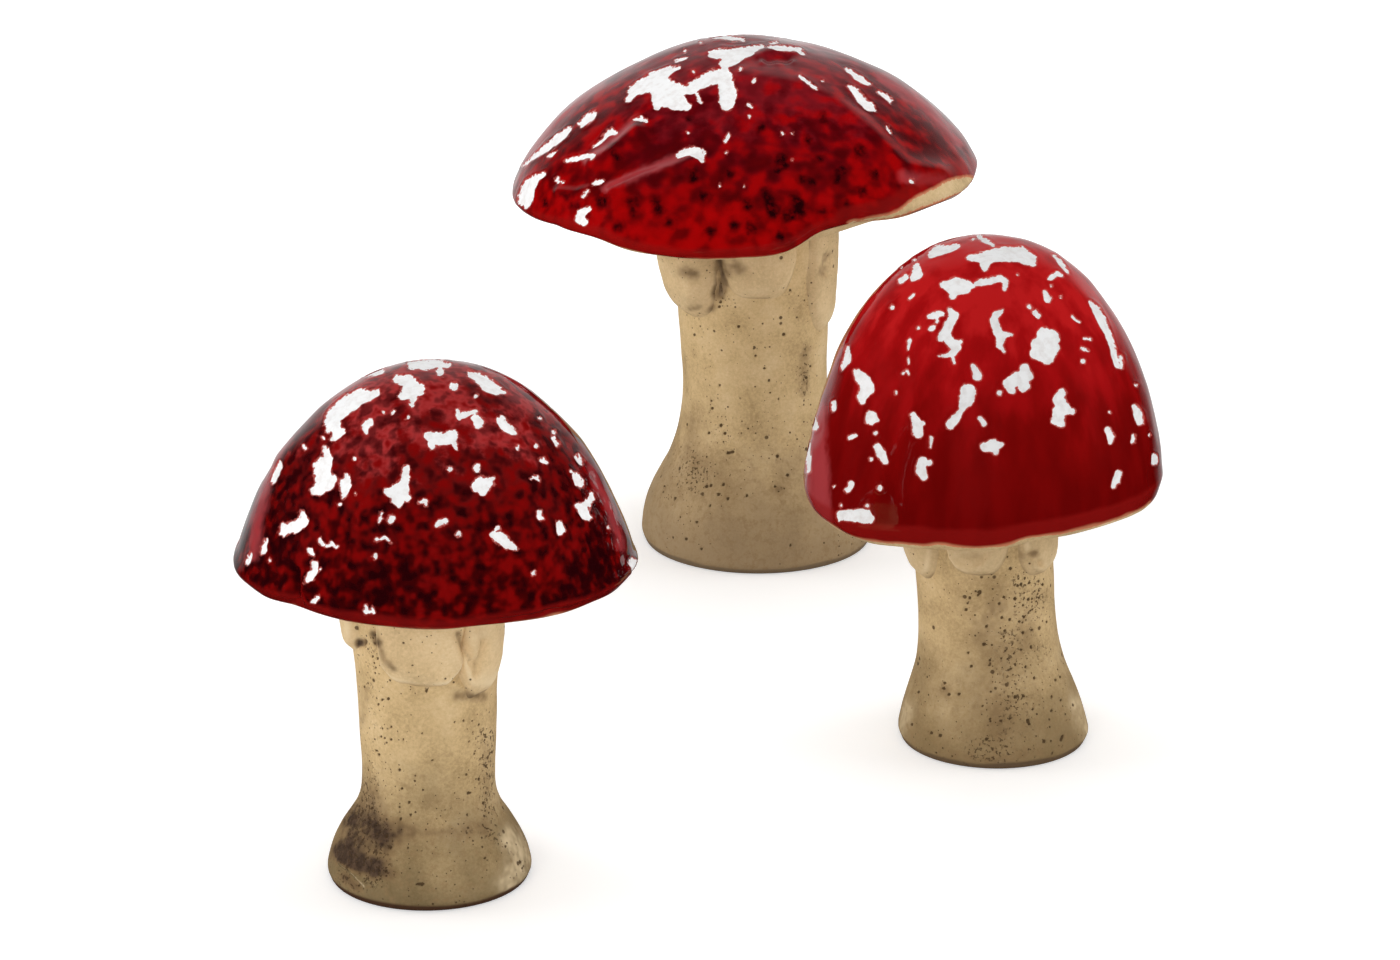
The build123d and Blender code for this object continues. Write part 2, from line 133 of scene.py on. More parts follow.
BELL_PATCHES = [
    [(930, 254, 3), (938, 249, 5), (948, 247, 4), (957, 244, 2.5)],
    [(917, 266, 3), (917, 274, 5.5), (913, 278, 3)], [(906, 277, 2.5), (901, 282, 2.5)], (915, 260, 1.5),
    (902, 268, 1.5), [(944, 285, 4), (955, 287, 9), (966, 287, 7), (973, 287, 2.5)], (953, 296, 4),
    [(969, 257, 3), (980, 257, 5), (992, 255, 7), (1006, 252, 8), (1020, 253, 8), (1030, 258, 6.5),
     (1033, 264, 3)],
    [(985, 262, 6), (985, 269, 3)], [(979, 235, 2.5), (986, 239, 2.5), (993, 244, 1.5)], (972, 237, 1.5),
    [(977, 284, 3), (990, 282, 4), (1000, 278, 3.5), (1005, 282, 3), (1005, 290, 2)],
    [(950, 310, 2.5), (954, 317, 5), (949, 326, 5), (945, 334, 5), (941, 339, 3)],
    [(948, 338, 5), (953, 345, 4.5), (957, 343, 4), (961, 342, 2)],
    [(957, 347, 4), (954, 352, 3.5), (945, 356, 2), (939, 356, 1)], [(952, 356, 2), (954, 363, 1.5)],
    [(929, 316, 2), (936, 315, 4), (942, 314, 2.5)], (937, 321, 2), (932, 328, 3.5), (917, 327, 2),
    [(908, 340, 2.5), (907, 349, 1)], [(908, 358, 1.3), (908, 363, 1.3)],
    [(901, 373, 1), (906, 370, 1.3), (909, 374, 1)], [(909, 299, 1.5), (913, 295, 1.2)], (892, 307, 2),
    [(849, 347, 1.2), (849, 356, 3.5), (847, 361, 4), (842, 369, 1.5)],
    [(857, 373, 4), (863, 380, 6.5), (867, 388, 7), (862, 396, 5), (862, 402, 2.5)],
    [(833, 403, 2.5), (833, 409, 2)], [(871, 416, 5), (870, 420, 5), (875, 420, 3)],
    [(813, 419, 2.5), (814, 427, 3)], [(808, 444, 2), (808, 456, 3), (809, 470, 3)],
    [(914, 416, 3.5), (918, 424, 5), (918, 433, 5)], (923, 424, 2.5), [(850, 437, 2.5), (856, 436, 1.5)],
    (875, 433, 2), [(877, 447, 3.5), (881, 454, 4.5), (885, 462, 3)], (871, 459, 2),
    [(931, 438, 2), (930, 447, 1)], [(922, 462, 5), (920, 470, 5.5), (923, 477, 4)], (929, 463, 3),
    [(852, 484, 3), (849, 490, 2.5)], (835, 486, 1.5), (880, 488, 2.8),
    [(843, 515, 5), (854, 515, 6), (866, 516, 6.5), (871, 519, 4)], (843, 505, 1.5), (868, 506, 2),
    [(974, 367, 3), (978, 376, 4.5)],
    [(968, 392, 8), (966, 401, 6.5), (961, 411, 2.5), (955, 419, 4.5), (950, 425, 4)], (895, 392, 1.8),
    [(980, 419, 2.5), (984, 424, 2.5)], [(985, 447, 5), (993, 446, 6.5), (1000, 445, 3.5)], (996, 452, 3),
    [(1054, 257, 1.5), (1060, 264, 2), (1067, 273, 1.5)],
    [(1050, 279, 2.5), (1056, 275, 2.5), (1061, 277, 1.5)], (1051, 287, 1.5),
    [(1044, 294, 2.5), (1047, 299, 4)], (1060, 297, 1.5), (1018, 274, 1.3),
    [(1027, 307, 2), (1030, 309, 1.5)], [(1034, 313, 3), (1038, 317, 2.5)],
    [(1002, 311, 1.8), (996, 315, 4), (994, 322, 3.5), (997, 331, 4.5), (1000, 339, 4.5), (999, 346, 3),
     (1004, 353, 1)],
    [(1003, 335, 3), (1011, 336, 1.5)],
    [(1043, 335, 7), (1050, 339, 9), (1042, 346, 11), (1034, 354, 5), (1047, 358, 6), (1056, 347, 4)],
    [(1024, 369, 5), (1026, 376, 6.5), (1017, 379, 7), (1009, 384, 6), (1012, 390, 4)], (1024, 386, 6),
    (999, 393, 2.8), [(1061, 393, 4), (1058, 400, 6), (1063, 409, 6), (1070, 411, 3.5)],
    [(1058, 410, 6), (1058, 418, 6), (1060, 423, 4), (1053, 421, 3)],
    [(1106, 430, 3), (1109, 437, 4), (1109, 442, 2.5)], [(1135, 407, 2.5), (1138, 414, 4), (1140, 422, 3)],
    [(1133, 436, 2), (1133, 442, 1.8)], (1149, 435, 1.5), [(1155, 456, 2.5), (1155, 462, 2.8)],
    [(1118, 474, 4), (1116, 481, 4), (1113, 487, 2)],
    [(1090, 303, 2), (1096, 311, 4.5), (1101, 321, 5), (1107, 332, 3.5), (1111, 345, 3), (1114, 356, 3.5),
     (1117, 366, 3)],
    [(1121, 357, 1.8), (1121, 368, 1.5)], [(1072, 317, 1.3), (1079, 323, 1)],
    [(1084, 339, 1.3), (1090, 340, 1.2)], [(1081, 348, 1.3), (1087, 352, 1)], (1082, 362, 2),
    (1136, 385, 1.5), (1108, 412, 1.3),
]
BROAD_PATCHES = [
    [(628, 99, 3), (634, 90, 6), (645, 85, 8), (655, 80, 9), (664, 73, 5), (672, 69, 3), (679, 67, 1.5)],
    [(657, 88, 9), (663, 95, 11), (672, 98, 11), (681, 102, 7), (687, 105, 4)],
    [(657, 100, 6), (656, 106, 3)],
    [(665, 84, 7), (675, 90, 8), (686, 89, 4), (694, 86, 5.5), (704, 79, 6), (714, 76, 7), (724, 75, 7)],
    [(724, 75, 7), (726, 84, 8), (728, 93, 9), (727, 102, 8)], [(725, 70, 4), (724, 62, 4.5)],
    [(711, 54, 3.5), (720, 53, 4.5), (730, 54, 6), (738, 54, 7), (746, 52, 6), (754, 48, 4),
     (762, 45.5, 2)],
    [(727, 61, 5), (735, 60, 4)],
    [(769, 47, 1.5), (778, 47, 3), (788, 48, 3.5), (797, 49, 3), (804, 52, 2)],
    [(714, 37, 2), (722, 37, 2.5), (730, 38, 2.5), (738, 38.5, 2), (743, 38.5, 2)],
    [(771, 41, 1.2), (777, 41, 1.2)], [(675, 60, 1.2), (681, 58.5, 1.8), (687, 57, 1)], (684, 50, 1.3),
    (701, 42, 1), (693, 71.5, 1.2), (740, 71, 2), [(697, 93, 1.2), (698, 98, 1.8), (701, 101, 1)],
    [(634, 120, 1.5), (640, 119, 3), (645, 121, 2)],
    [(594, 146, 1), (600, 142, 2), (607, 135, 2.5), (611, 132, 3.5), (616, 132, 2)],
    [(581, 124, 3), (586, 120, 4), (592, 115, 3), (595, 112, 1.5)],
    [(522, 166, 1), (534, 158, 2), (544, 150, 3.5), (554, 143, 4), (562, 136, 4), (568, 130, 2.5),
     (571, 127, 1)],
    [(550, 157, 1.5), (556, 152, 1)],
    [(565, 162, 1), (574, 160, 2.5), (584, 157, 3), (592, 157, 3), (596, 158, 2.5), (595, 162, 1.5)],
    [(544, 175, 2.5), (538, 177, 3), (531, 184, 6), (527, 192, 7), (525, 200, 7), (527, 205, 3.5)],
    [(558, 178, 1.5), (558, 183, 1.2), (563, 182, 1)], [(594, 184, 1.5), (599, 182, 2), (604, 180.5, 1)],
    [(584, 197, 1.2), (590, 191, 0.8)],
    [(588, 209, 3), (586, 209, 3), (581, 213, 4), (580, 220, 4), (585, 221, 3.5)],
    [(679, 156, 3), (686, 152, 4.5), (694, 151, 6), (699, 156, 5.5), (702, 161, 3)],
    [(704, 153, 1.5), (702, 149, 1)], [(725, 140, 1.8), (729, 135, 1.5)], (726, 152, 1), (687, 132, 1.3),
    (719.5, 184, 1.3), (744, 186, 1.2), (753, 84, 1.8), [(748, 105, 2.5), (752, 107, 1.2)], (749, 117, 1.3),
    [(800, 80, 2), (806, 85, 2), (812, 90, 1.8), (816, 92, 1)], (822, 83, 1.3),
    [(845, 69, 1), (852, 73, 2), (858, 78, 3), (865, 82, 2.2), (871, 84, 1)],
    [(848, 86, 1), (856, 92, 3.5), (862, 98, 4.5), (868, 103, 4.5), (873, 106, 4), (876, 108, 2)],
    [(878, 91, 1), (885, 95, 2), (891, 100, 1.5)], [(889, 126, 1.6), (891, 130, 1.5)], (782, 134, 1.5),
    (792, 133.5, 1.2), (793, 160, 1.2), (913, 180, 2),
]

# Bare clay below the glaze line at the lip, where the photograph shows it
BROAD_BARE_LIP = [
    [(850, 223.8, 0.6), (870, 220.5, 1), (890, 217, 1.8), (903, 213, 3), (913, 206.5, 4.5),
     (925, 200, 5.5), (936, 195, 6), (948, 189, 7), (960, 185.5, 7.5), (969, 181.5, 5)],
]

# Dark pools in the broad cap's glaze, drawn like the patches
BROAD_POOLS = [
    (808, 140, 4), (859, 151, 5), (823, 118, 3), (821, 158, 3), [(842, 170, 4), (838, 181, 3)],
    (876, 173, 3), (863, 190, 3), [(783, 162, 6), (777, 170, 3)], [(766, 195, 4), (773, 210, 6)],
    [(796, 199, 4), (800, 213, 7), (787, 217, 5)], [(780, 238, 4), (790, 243, 4)], (751, 229, 4),
    [(802, 180, 3), (813, 184, 3)], (822, 210, 4), (602, 202, 6), [(632, 203, 4), (634, 213, 3)],
    [(655, 203, 5), (658, 211, 3)], (693, 176, 5), (703, 194, 4), (733, 225, 5), (710, 232, 4),
    (566, 196, 3), (546, 202, 3), [(614, 150, 3), (620, 160, 3)], (760, 128, 3), (748, 205, 4),
    (670, 222, 4), (618, 228, 4), (575, 206, 3), (730, 172, 3), (847, 205, 3), (690, 118, 3),
]

# Where the glaze is painted pinker, partly thin glaze over folds and edges and partly a painted
# highlight and sheen, drawn like the patches
DOMED_THIN_AND_SHEEN = [
    [(252, 556, 2), (256, 520, 3), (268, 478, 2), (290, 440, 1)],
    [(622, 548, 0), (606, 500, 1), (590, 468, 0)],
]
BELL_THIN_AND_SHEEN = [
    [(820, 408, 2), (815, 450, 7), (817, 488, 9), (825, 518, 5)],
]
BROAD_THIN_AND_SHEEN = [
    [(606, 190, 1), (638, 177, 3), (666, 165, 3), (690, 153, 2)],
    [(588, 160, 1), (608, 147, 3), (632, 125, 1)], [(903, 176, 1), (922, 180, 2), (944, 178, 0)],
    [(524, 160, 1), (556, 120, 2), (600, 82, 1)], [(880, 78, 1), (930, 108, 3), (962, 142, 1)],
]

# Pits and slits in the bare clay, drawn like the patches
DOMED_PITS = [
    (388, 699, 1.3), (382, 700, 1), (378, 704.5, 1), [(427, 688, 1.2), (426.5, 692, 1.1)],
    (380.5, 737, 0.9), (384, 738.5, 1), (390.5, 740, 1.1), (386, 743, 0.9), (375, 751, 0.8),
    (378, 755, 1.1), (399, 770.5, 1.3), (401.5, 789, 1.1), (409, 802.5, 1.2), (410.5, 815, 1.1),
    (400.5, 819, 1.2), (372, 808, 1.2), (387, 836, 1.4), (391, 848, 1.2), (455, 722.5, 0.9),
    (432.5, 761, 0.9), (415, 776, 0.8), (467, 775, 1), [(468.5, 793.5, 1.3), (471, 793, 0.9)],
    (468, 815, 1), [(418, 884, 1.3), (423, 884, 1.5)], (521, 862, 1.6), (523, 868, 1), (485.5, 858, 1.2),
    (377, 659, 1), (371.5, 657, 1), (375, 668, 0.9), (364, 687, 0.9), (391, 727, 0.9), (403, 740, 0.8),
    (422, 733.5, 0.7), (464, 721, 0.9), (482, 667.5, 1), (494, 665, 0.9), (386, 871, 1.1), (484, 803, 1.4),
    (479, 779, 1.2), (486, 766, 1.2), (492, 752, 1.2), (475, 754, 0.9), (470, 742, 0.9), (480, 725, 1),
    (506, 846, 1.1),
]
BELL_PITS = [
    (979.5, 592.5, 1.9), (978, 595.5, 1.1), (969.5, 598, 1.2), (966, 610, 1.4), (1010.7, 569, 1.5),
    (992.7, 573, 1.1), (998, 564, 1), (1015.5, 599, 1.5), (1018, 586, 1.3), (1021.5, 584.5, 1.1),
    (999.5, 604, 1.3), (1004, 597.5, 1.2), (1002, 618, 1.3), (1010, 620, 1.2), (1020, 622, 1.2),
    (1025, 617, 1.1), (986.5, 627, 1.3), (1005, 631, 1.3), (1004, 637, 1), (1023.5, 633, 1.2),
    (1032.5, 630, 1), (984, 644.5, 1.6), (1031.5, 647, 1.1), (1021.5, 650, 1.2), (990, 660.5, 1.1),
    (989.5, 665.5, 1), (971, 666.5, 1.2), (968, 653, 1.1), (1011, 669, 1.2), (1015.5, 664.5, 1.1),
    (1026, 667, 1.2), (1034.5, 678, 1.2), (1055.5, 680, 1.2), (1060, 677, 1.1), (944.5, 683, 1.3),
    (943.5, 688.5, 1.4), (948.5, 694.5, 1.4), (958.5, 694, 1.4), (918, 692, 1.1), (1015, 697, 1.3),
    (1023.5, 696, 1.3), (1052, 696.5, 1), (1061, 700, 1.1), (990, 719, 1.3), (1010, 718.5, 1.4),
    (1001, 721, 1.2), [(1028, 720, 1.4), (1029.5, 724, 1.2)], (931, 733, 1.3), (940, 735.5, 1.5),
    (986.5, 739, 1.5), (1044.5, 741.5, 1.6), [(1063, 736, 1.1), (1061.5, 740, 1.2)], (911, 724.5, 1.2),
    (1039, 581.5, 1.2), (1043, 584.5, 1.1), (1030, 583, 1.1), (1029, 599.5, 1.2), (1032.5, 599, 1),
    (1039.5, 598, 1.1), (1039.5, 591, 1), (1023.5, 605.5, 1.1), (1031, 611, 1), (1047, 622, 1),
    (1052, 710.5, 1.2), (1073, 705, 1.1), (1033, 709, 1.1), (982.5, 706, 1),
]
BROAD_PITS = [
    (738.6, 326.7, 1.3), (784, 334.7, 1.5), (694, 335, 1.2), (755.6, 356, 1.1), (764.5, 368.5, 1.1),
    (769, 380.5, 1.1), (807, 378, 1.4), (711, 401, 0.9), (712, 408.5, 1.2), (721, 425.4, 1.5),
    (725, 433.5, 1.4), (709, 433, 1.1), [(727.5, 453, 1.1), (733, 452, 1.1)], (777.5, 456, 1.5),
    (787.5, 475, 1.4), (775, 486.5, 1.2), (706.5, 486.5, 1.5), (711, 485.5, 1.3), (718.5, 494, 1.5),
    (723.5, 484.5, 1.2), (728, 498.5, 1.3), (747, 495.5, 1.1), (710, 505.5, 1), (675, 498, 1.3),
    (696.5, 522, 1.1), (686, 539, 1.3), (701, 549, 1.2), (790.5, 545.5, 1.2), (720, 302.5, 1.2),
    (719, 307, 1.2), (703, 282, 1), (790.5, 290.5, 1), (719.5, 385.5, 0.9), (797, 317.5, 0.9),
    (664, 486, 0.9), (778.5, 399, 0.8), (811, 366.5, 1),
]

# Where the lip waves up or down: a line through pixels, the lift (mm) and half width (mm)
DOMED_LIP_WAVES = [
    ([(262, 590), (290, 605)], 1.0, 7.0),
    ([(600, 608), (632, 590)], 1.2, 8.0),
]
BELL_LIP_WAVES = [
    ([(950, 545)], 0.6, 5.0),
    ([(1000, 548)], -0.5, 5.0),
    ([(1040, 545)], 0.7, 6.0),
]
BROAD_LIP_WAVES = [
    ([(822, 238), (848, 227)], 4.0, 9.0),
    ([(566, 226), (592, 236)], 2.2, 10.0),
    ([(880, 222)], 0.8, 7.0),
]

# Ridges and hollows of the hand-pressed caps: a line, its height (mm) and half width (mm)
DOMED_FORMS = [
    ([(380, 498), (362, 550), (340, 602)], 1.0, 4.0),
    ([(400, 518), (386, 560), (372, 606)], -0.7, 4.5),
    ([(292, 572), (296, 600), (298, 616)], -1.8, 1.5),
    ([(285, 460), (305, 444), (332, 428)], 0.9, 3.5),
    ([(440, 540), (458, 596)], -0.6, 8.0),
    ([(300, 598), (345, 612), (400, 619), (450, 621), (510, 620), (570, 611), (605, 600)], -0.5, 1.3),
    ([(500, 470), (540, 560)], 0.6, 9.0),
    ([(546, 585), (552, 612)], -0.8, 3.0),
]
BELL_FORMS = [
    ([(840, 500), (846, 545)], 0.9, 6.0),
    ([(812, 452), (814, 490), (820, 520)], 0.5, 3.5),
    ([(826, 458), (830, 500), (836, 530)], -0.5, 4.0),
    ([(905, 330), (880, 430)], -0.5, 7.0),
    ([(930, 340), (918, 420)], 0.5, 4.0),
    ([(930, 480), (940, 540)], -0.45, 6.0),
    ([(1000, 470), (1010, 540)], -0.4, 6.0),
    ([(1060, 440), (1075, 530)], 0.4, 7.0),
]
BROAD_FORMS = [
    ([(617, 195), (647, 182), (674, 173), (694, 165)], 3.2, 3.5),
    ([(595, 165), (614, 153), (639, 132)], 2.6, 3.1),
    ([(560, 192), (578, 194), (590, 190)], 1.1, 1.8),
    ([(745, 78), (800, 90), (850, 114), (882, 142), (904, 167), (938, 171)], 1.3, 4.0),
    ([(866, 104), (905, 134), (938, 154)], -1.2, 7.5),
    ([(896, 178), (918, 181), (940, 178)], -0.8, 2.2),
    ([(769, 60), (777, 58), (787, 60)], -1.3, 1.9),
    ([(762, 63.5), (777, 64), (793, 62.5)], 0.45, 1.0),
    ([(757, 56), (766, 51), (780, 50), (796, 53)], 0.6, 1.1),
    ([(700, 105), (712, 190)], -0.6, 9.0),
]

# Finger marks in the luting clay: a line, its height (mm) and half width (mm)
DOMED_FINGERS = [
    ([(459, 634), (465, 650), (472, 663)], -2.0, 1.6),
    ([(485, 642), (480, 660), (476, 674)], -1.6, 1.3),
    ([(473, 636), (475, 655)], 0.9, 1.8),
    ([(387, 662), (410, 673), (440, 680), (464, 688)], 0.9, 1.6),
    ([(357, 643), (361, 643)], -1.6, 1.2),
    ([(339, 861), (352, 871), (366, 885)], 0.7, 0.5),
    ([(337, 866), (350, 876), (362, 889)], -0.7, 0.7),
]
BELL_FINGERS = [
    ([(951, 557), (957, 566), (969, 570), (982, 567), (990, 557)], 0.9, 1.2),
    ([(962, 555), (978, 556)], -1.0, 2.4),
    ([(1040, 562.5)], -1.4, 0.9),
    ([(1029, 555), (1034, 553)], -1.0, 1.2),
    ([(1034, 566), (1042, 570)], 0.7, 1.2),
]
BROAD_FINGERS = [
    ([(684, 272), (692, 275)], -1.2, 3.0),
    ([(690, 296), (702, 299), (712, 292)], 0.9, 1.8),
    ([(719, 262), (724, 276), (720, 294)], -1.2, 2.0),
    ([(762, 262), (763, 276)], 0.9, 1.6),
    ([(750, 268), (752, 284)], -0.6, 2.0),
    ([(827, 258), (826, 272)], -1.3, 1.6),
    ([(838, 300), (828, 316), (817, 332)], 0.5, 1.4),
]

# Soft soil marks, among them painted shade in finger dents, down the middle of a stem and along the
# bottom of a foot, and pale marks, among them painted highlights along a foot's edges: a line, its half
# width in pixels and how dark it is, or how pale below 0
DOMED_SOIL_AND_SHADING = [
    ([(512, 838), (522, 862), (508, 884)], 17, -0.38),
    ([(352, 818), (374, 826), (392, 834)], 14, 0.85),
    ([(350, 842), (378, 848)], 13, 0.65),
    ([(340, 852), (354, 861), (374, 868)], 9, 1.3),
    ([(366, 785), (376, 806)], 13, 0.35),
    ([(382, 866), (392, 875)], 9, 0.45),
    ([(339, 864), (352, 873), (364, 886)], 2.0, -0.6),
    ([(344, 877), (358, 889)], 5, 0.5),
    ([(405, 830), (445, 834), (480, 828)], 9, 0.32),
    ([(486, 742), (485, 790), (488, 828)], 9, 0.22),
    ([(373, 634), (377, 642)], 4.5, 0.6),
    ([(378, 644), (384, 658), (394, 668)], 4.5, 0.34),
    ([(357, 643), (361, 643)], 4, 0.85),
    ([(458, 696), (482, 696)], 7, 0.42),
    ([(460, 636), (465, 650), (471, 661)], 3.5, 0.5),
    ([(484, 643), (480, 660), (477, 672)], 3, 0.42),
    ([(366, 690), (362, 720)], 8, 0.22),
    ([(430, 800), (455, 802)], 12, 0.18),
]
BELL_SOIL_AND_SHADING = [
    ([(1076, 700), (1090, 738)], 13, -0.28),
    ([(906, 706), (897, 740)], 12, -0.28),
    ([(986, 600), (994, 660), (1002, 720)], 34, 0.28),
    ([(1026, 555), (1036, 554)], 4.5, 0.5),
    ([(1034, 595), (1024, 640)], 14, 0.18),
    ([(944, 690)], 7, 0.35),
    ([(940, 752), (990, 762), (1040, 752)], 6, 0.25),
    ([(963, 556), (978, 557)], 5, 0.16),
]
BROAD_SOIL_AND_SHADING = [
    ([(684, 272), (692, 275)], 8, 0.4),
    ([(719, 262), (724, 276), (720, 294)], 8, 0.5),
    ([(735, 264), (740, 270)], 7, 0.36),
    ([(712, 308), (690, 308)], 5, 0.35),
    ([(828, 256), (824, 272)], 8, 0.42),
    ([(690, 420), (694, 470)], 18, 0.22),
    ([(779, 490)], 8, 0.4),
    ([(806, 350), (803, 390)], 7, 0.35),
    ([(720, 480), (736, 500)], 15, 0.15),
]

# Rough, finely pitted places: a line, its half width in pixels and how rough it is
DOMED_ROUGH = [
    ([(486, 735), (487, 790), (491, 832)], 13, 1.1),
    ([(372, 650), (374, 720), (372, 780)], 9, 0.5),
    ([(352, 800), (372, 835), (370, 868)], 20, 0.8),
    ([(505, 846), (522, 866)], 11, 0.7),
    ([(345, 872), (362, 884)], 8, 1.1),
    ([(420, 826), (470, 832)], 8, 0.5),
]
BELL_ROUGH = [
    ([(1022, 582), (1036, 592), (1032, 606)], 14, 0.9),
    ([(1046, 650), (1062, 690), (1076, 725)], 15, 0.6),
    ([(944, 688)], 9, 0.9),
    ([(975, 748), (1000, 752)], 12, 0.7),
    ([(1000, 640), (1012, 700)], 18, 0.4),
]
BROAD_ROUGH = [
    ([(712, 412), (724, 438)], 15, 0.6),
    ([(806, 345), (804, 392)], 8, 0.9),
    ([(690, 452), (700, 480)], 14, 0.5),
    ([(712, 302), (730, 300)], 10, 0.7),
    ([(779, 488)], 8, 0.9),
]


# Reading shapes and strokes

def shape_tree(node):
    """A search tree of a CAD node's surface."""
    return BVHTree.FromObject(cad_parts[node], bpy.context.evaluated_depsgraph_get())


def cast(tree, starts, ways, reach):
    """Distance to the first hit from each start along each way, nan where there is none."""
    found = np.full(len(starts), np.nan)
    for k, (start, way) in enumerate(zip(starts.tolist(), ways.tolist())):
        distance = tree.ray_cast(start, way, reach)[3]
        if distance is not None:
            found[k] = distance
    return found


def filled(values):
    """Values along a closed ring, with the missing ones filled in between their neighbours."""
    known = np.isfinite(values)
    places = np.arange(len(values))
    return np.interp(places, places[known], values[known], period=len(values))


def reach_at(tree, middle, out, height):
    """How far a solid reaches from an upright line at one height."""
    start = middle + out * FAR
    start[:, 2] = height
    return FAR - cast(tree, start, -out, FAR)


def hollow_at(tree, middle, ways, height):
    """How far a hollow reaches from its upright line, along each way."""
    start = np.repeat(middle[None], len(ways), axis=0)
    start[:, 2] = height
    return filled(cast(tree, start, ways, FAR))


def smoothed(grid, times, wrap=False):
    """A grid of values, evened out against its neighbours."""
    for _ in range(times):
        across = np.pad(grid, ((0, 0), (1, 1)), mode="wrap" if wrap else "edge")
        down = np.pad(grid, ((1, 1), (0, 0)), mode="edge")
        around = across[:, :-2] + across[:, 2:] + down[:-2] + down[2:]
        grid = grid / 2 + around / 8
    return grid


def low_waves(values, count):
    """A ring of values with only its longest waves kept."""
    waves = np.fft.rfft(values)
    waves[count + 1:] = 0
    return np.fft.irfft(waves, len(values))


def read_ring(ring, bearing):
    """A ring of values at even bearings, read at any bearing."""
    return np.interp(bearing / TURN * len(ring), np.arange(len(ring) + 1), np.append(ring, ring[0]))


def outward(bearing):
    """Level unit vectors along bearings."""
    return np.stack((np.cos(bearing), np.sin(bearing), np.zeros_like(bearing)), axis=-1)


def leaning(out, polar):
    """Unit vectors at angles from upright, leaning along level ones."""
    return out * np.sin(polar)[:, None] + UP * np.cos(polar)[:, None]


def noise(points, size, seed):
    """Smooth lumps from -1 to 1 at points, about one size across."""
    cell = points / size + 31.7 * seed
    low = np.floor(cell).astype(np.int64)
    t = cell - low
    t = t * t * t * (t * (t * 6 - 15) + 10)
    total = np.zeros(len(points))
    for corner in range(8):
        step = np.array([(corner >> k) & 1 for k in range(3)])
        key = (low + step) @ np.array((73856093, 19349663, 83492791))
        key = (key ^ (key >> 13)) * 1274126177
        value = ((key ^ (key >> 16)) & 0xFFFF) / 32767.5 - 1
        total += value * np.prod(np.where(step, t, 1 - t), axis=1)
    return total


def lumps(points, kinds, seed):
    """Unevenness made of several kinds of lump."""
    return sum(height * MM * noise(points, size * MM, seed + k) for k, (height, size) in enumerate(kinds))


def ramp(values, low, high):
    """0 below low, 1 above high, and smooth between them."""
    t = np.clip((values - low) / (high - low), 0, 1)
    return t * t * (3 - 2 * t)


def photo_pixels(points):
    """Pixels of the photograph where points fall, and metres to a pixel there."""
    rel = points - CAMERA_AT
    depth = rel[:, 1] * math.cos(CAMERA_PITCH) - rel[:, 2] * math.sin(CAMERA_PITCH)
    up = rel[:, 1] * math.sin(CAMERA_PITCH) + rel[:, 2] * math.cos(CAMERA_PITCH)
    across = PHOTO_SIZE[0] / 2 + FOCAL_PIXELS * rel[:, 0] / depth
    down = PHOTO_SIZE[1] / 2 - FOCAL_PIXELS * up / depth
    return np.stack((across, down), axis=1), depth / FOCAL_PIXELS


def facing_photo(points, normals):
    """How squarely each point faces the photograph's camera, from -1 to 1."""
    way = CAMERA_AT - points
    way /= np.linalg.norm(way, axis=1, keepdims=True)
    return np.sum(way * normals, axis=1)


def inside_strokes(places, strokes):
    """How far each place is inside the nearest of some strokes or dots, negative outside them."""
    dims = places.shape[1]
    best = np.full(len(places), -np.inf)
    for stroke in strokes:
        stroke = np.atleast_2d(np.array(stroke, float))
        ends = stroke[1:] if len(stroke) > 1 else stroke
        for a, b in zip(stroke, ends):
            run = b[:dims] - a[:dims]
            rel = places - a[:dims]
            t = np.clip(rel @ run / max(run @ run, 1e-12), 0, 1)
            gap = np.linalg.norm(rel - t[:, None] * run, axis=1)
            best = np.maximum(best, a[dims] + t * (b[dims] - a[dims]) - gap)
    return best


def gap_to(places, line):
    """How far each place is from a line, which is a stroke without widths."""
    return -inside_strokes(places, [[(*point, 0) for point in line]])


def pressed(pixels, per_pixel, forms):
    """How far ridges, hollows and finger marks raise each place."""
    rise = np.zeros(len(pixels))
    for line, height, width in forms:
        gap = gap_to(pixels, line) * per_pixel
        rise += height * MM * np.exp(-(gap / (width * MM)) ** 2)
    return rise


# Meshes

def make_mesh(name, points, faces):
    """A new smooth-shaded mesh object."""
    mesh = bpy.data.meshes.new(name)
    mesh.from_pydata(points.tolist(), [], faces)
    mesh.update()
    mesh.shade_smooth()
    piece = bpy.data.objects.new(name, mesh)
    bpy.context.scene.collection.objects.link(piece)
    return piece


def points_of(piece):
    """The place and the normal of each point of a piece."""
    mesh = piece.data
    found = []
    for source, key in ((mesh.vertices, "co"), (mesh.vertex_normals, "vector")):
        values = np.empty(len(mesh.vertices) * 3, np.float32)
        source.foreach_get(key, values)
        found.append(values.reshape(-1, 3).astype(float))
    return found


def set_points(piece, points):
    piece.data.vertices.foreach_set("co", points.astype(np.float32).ravel())
    piece.data.update()


def set_fields(piece, **fields):
    """Stores values at each point, for the material."""
    for name, values in fields.items():
        field = piece.data.attributes.new(name, "FLOAT", "POINT")
        field.data.foreach_set("value", values.astype(np.float32))


def ring_faces(rows, columns, first=0, close_rows=False):
    """Squares between rows of points that each go once round."""
    faces = []
    for r in range(rows if close_rows else rows - 1):
        low, high = first + r * columns, first + (r + 1) % rows * columns
        for c in range(columns):
            d = (c + 1) % columns
            faces.append((high + c, high + d, low + d, low + c))
    return faces


# Caps

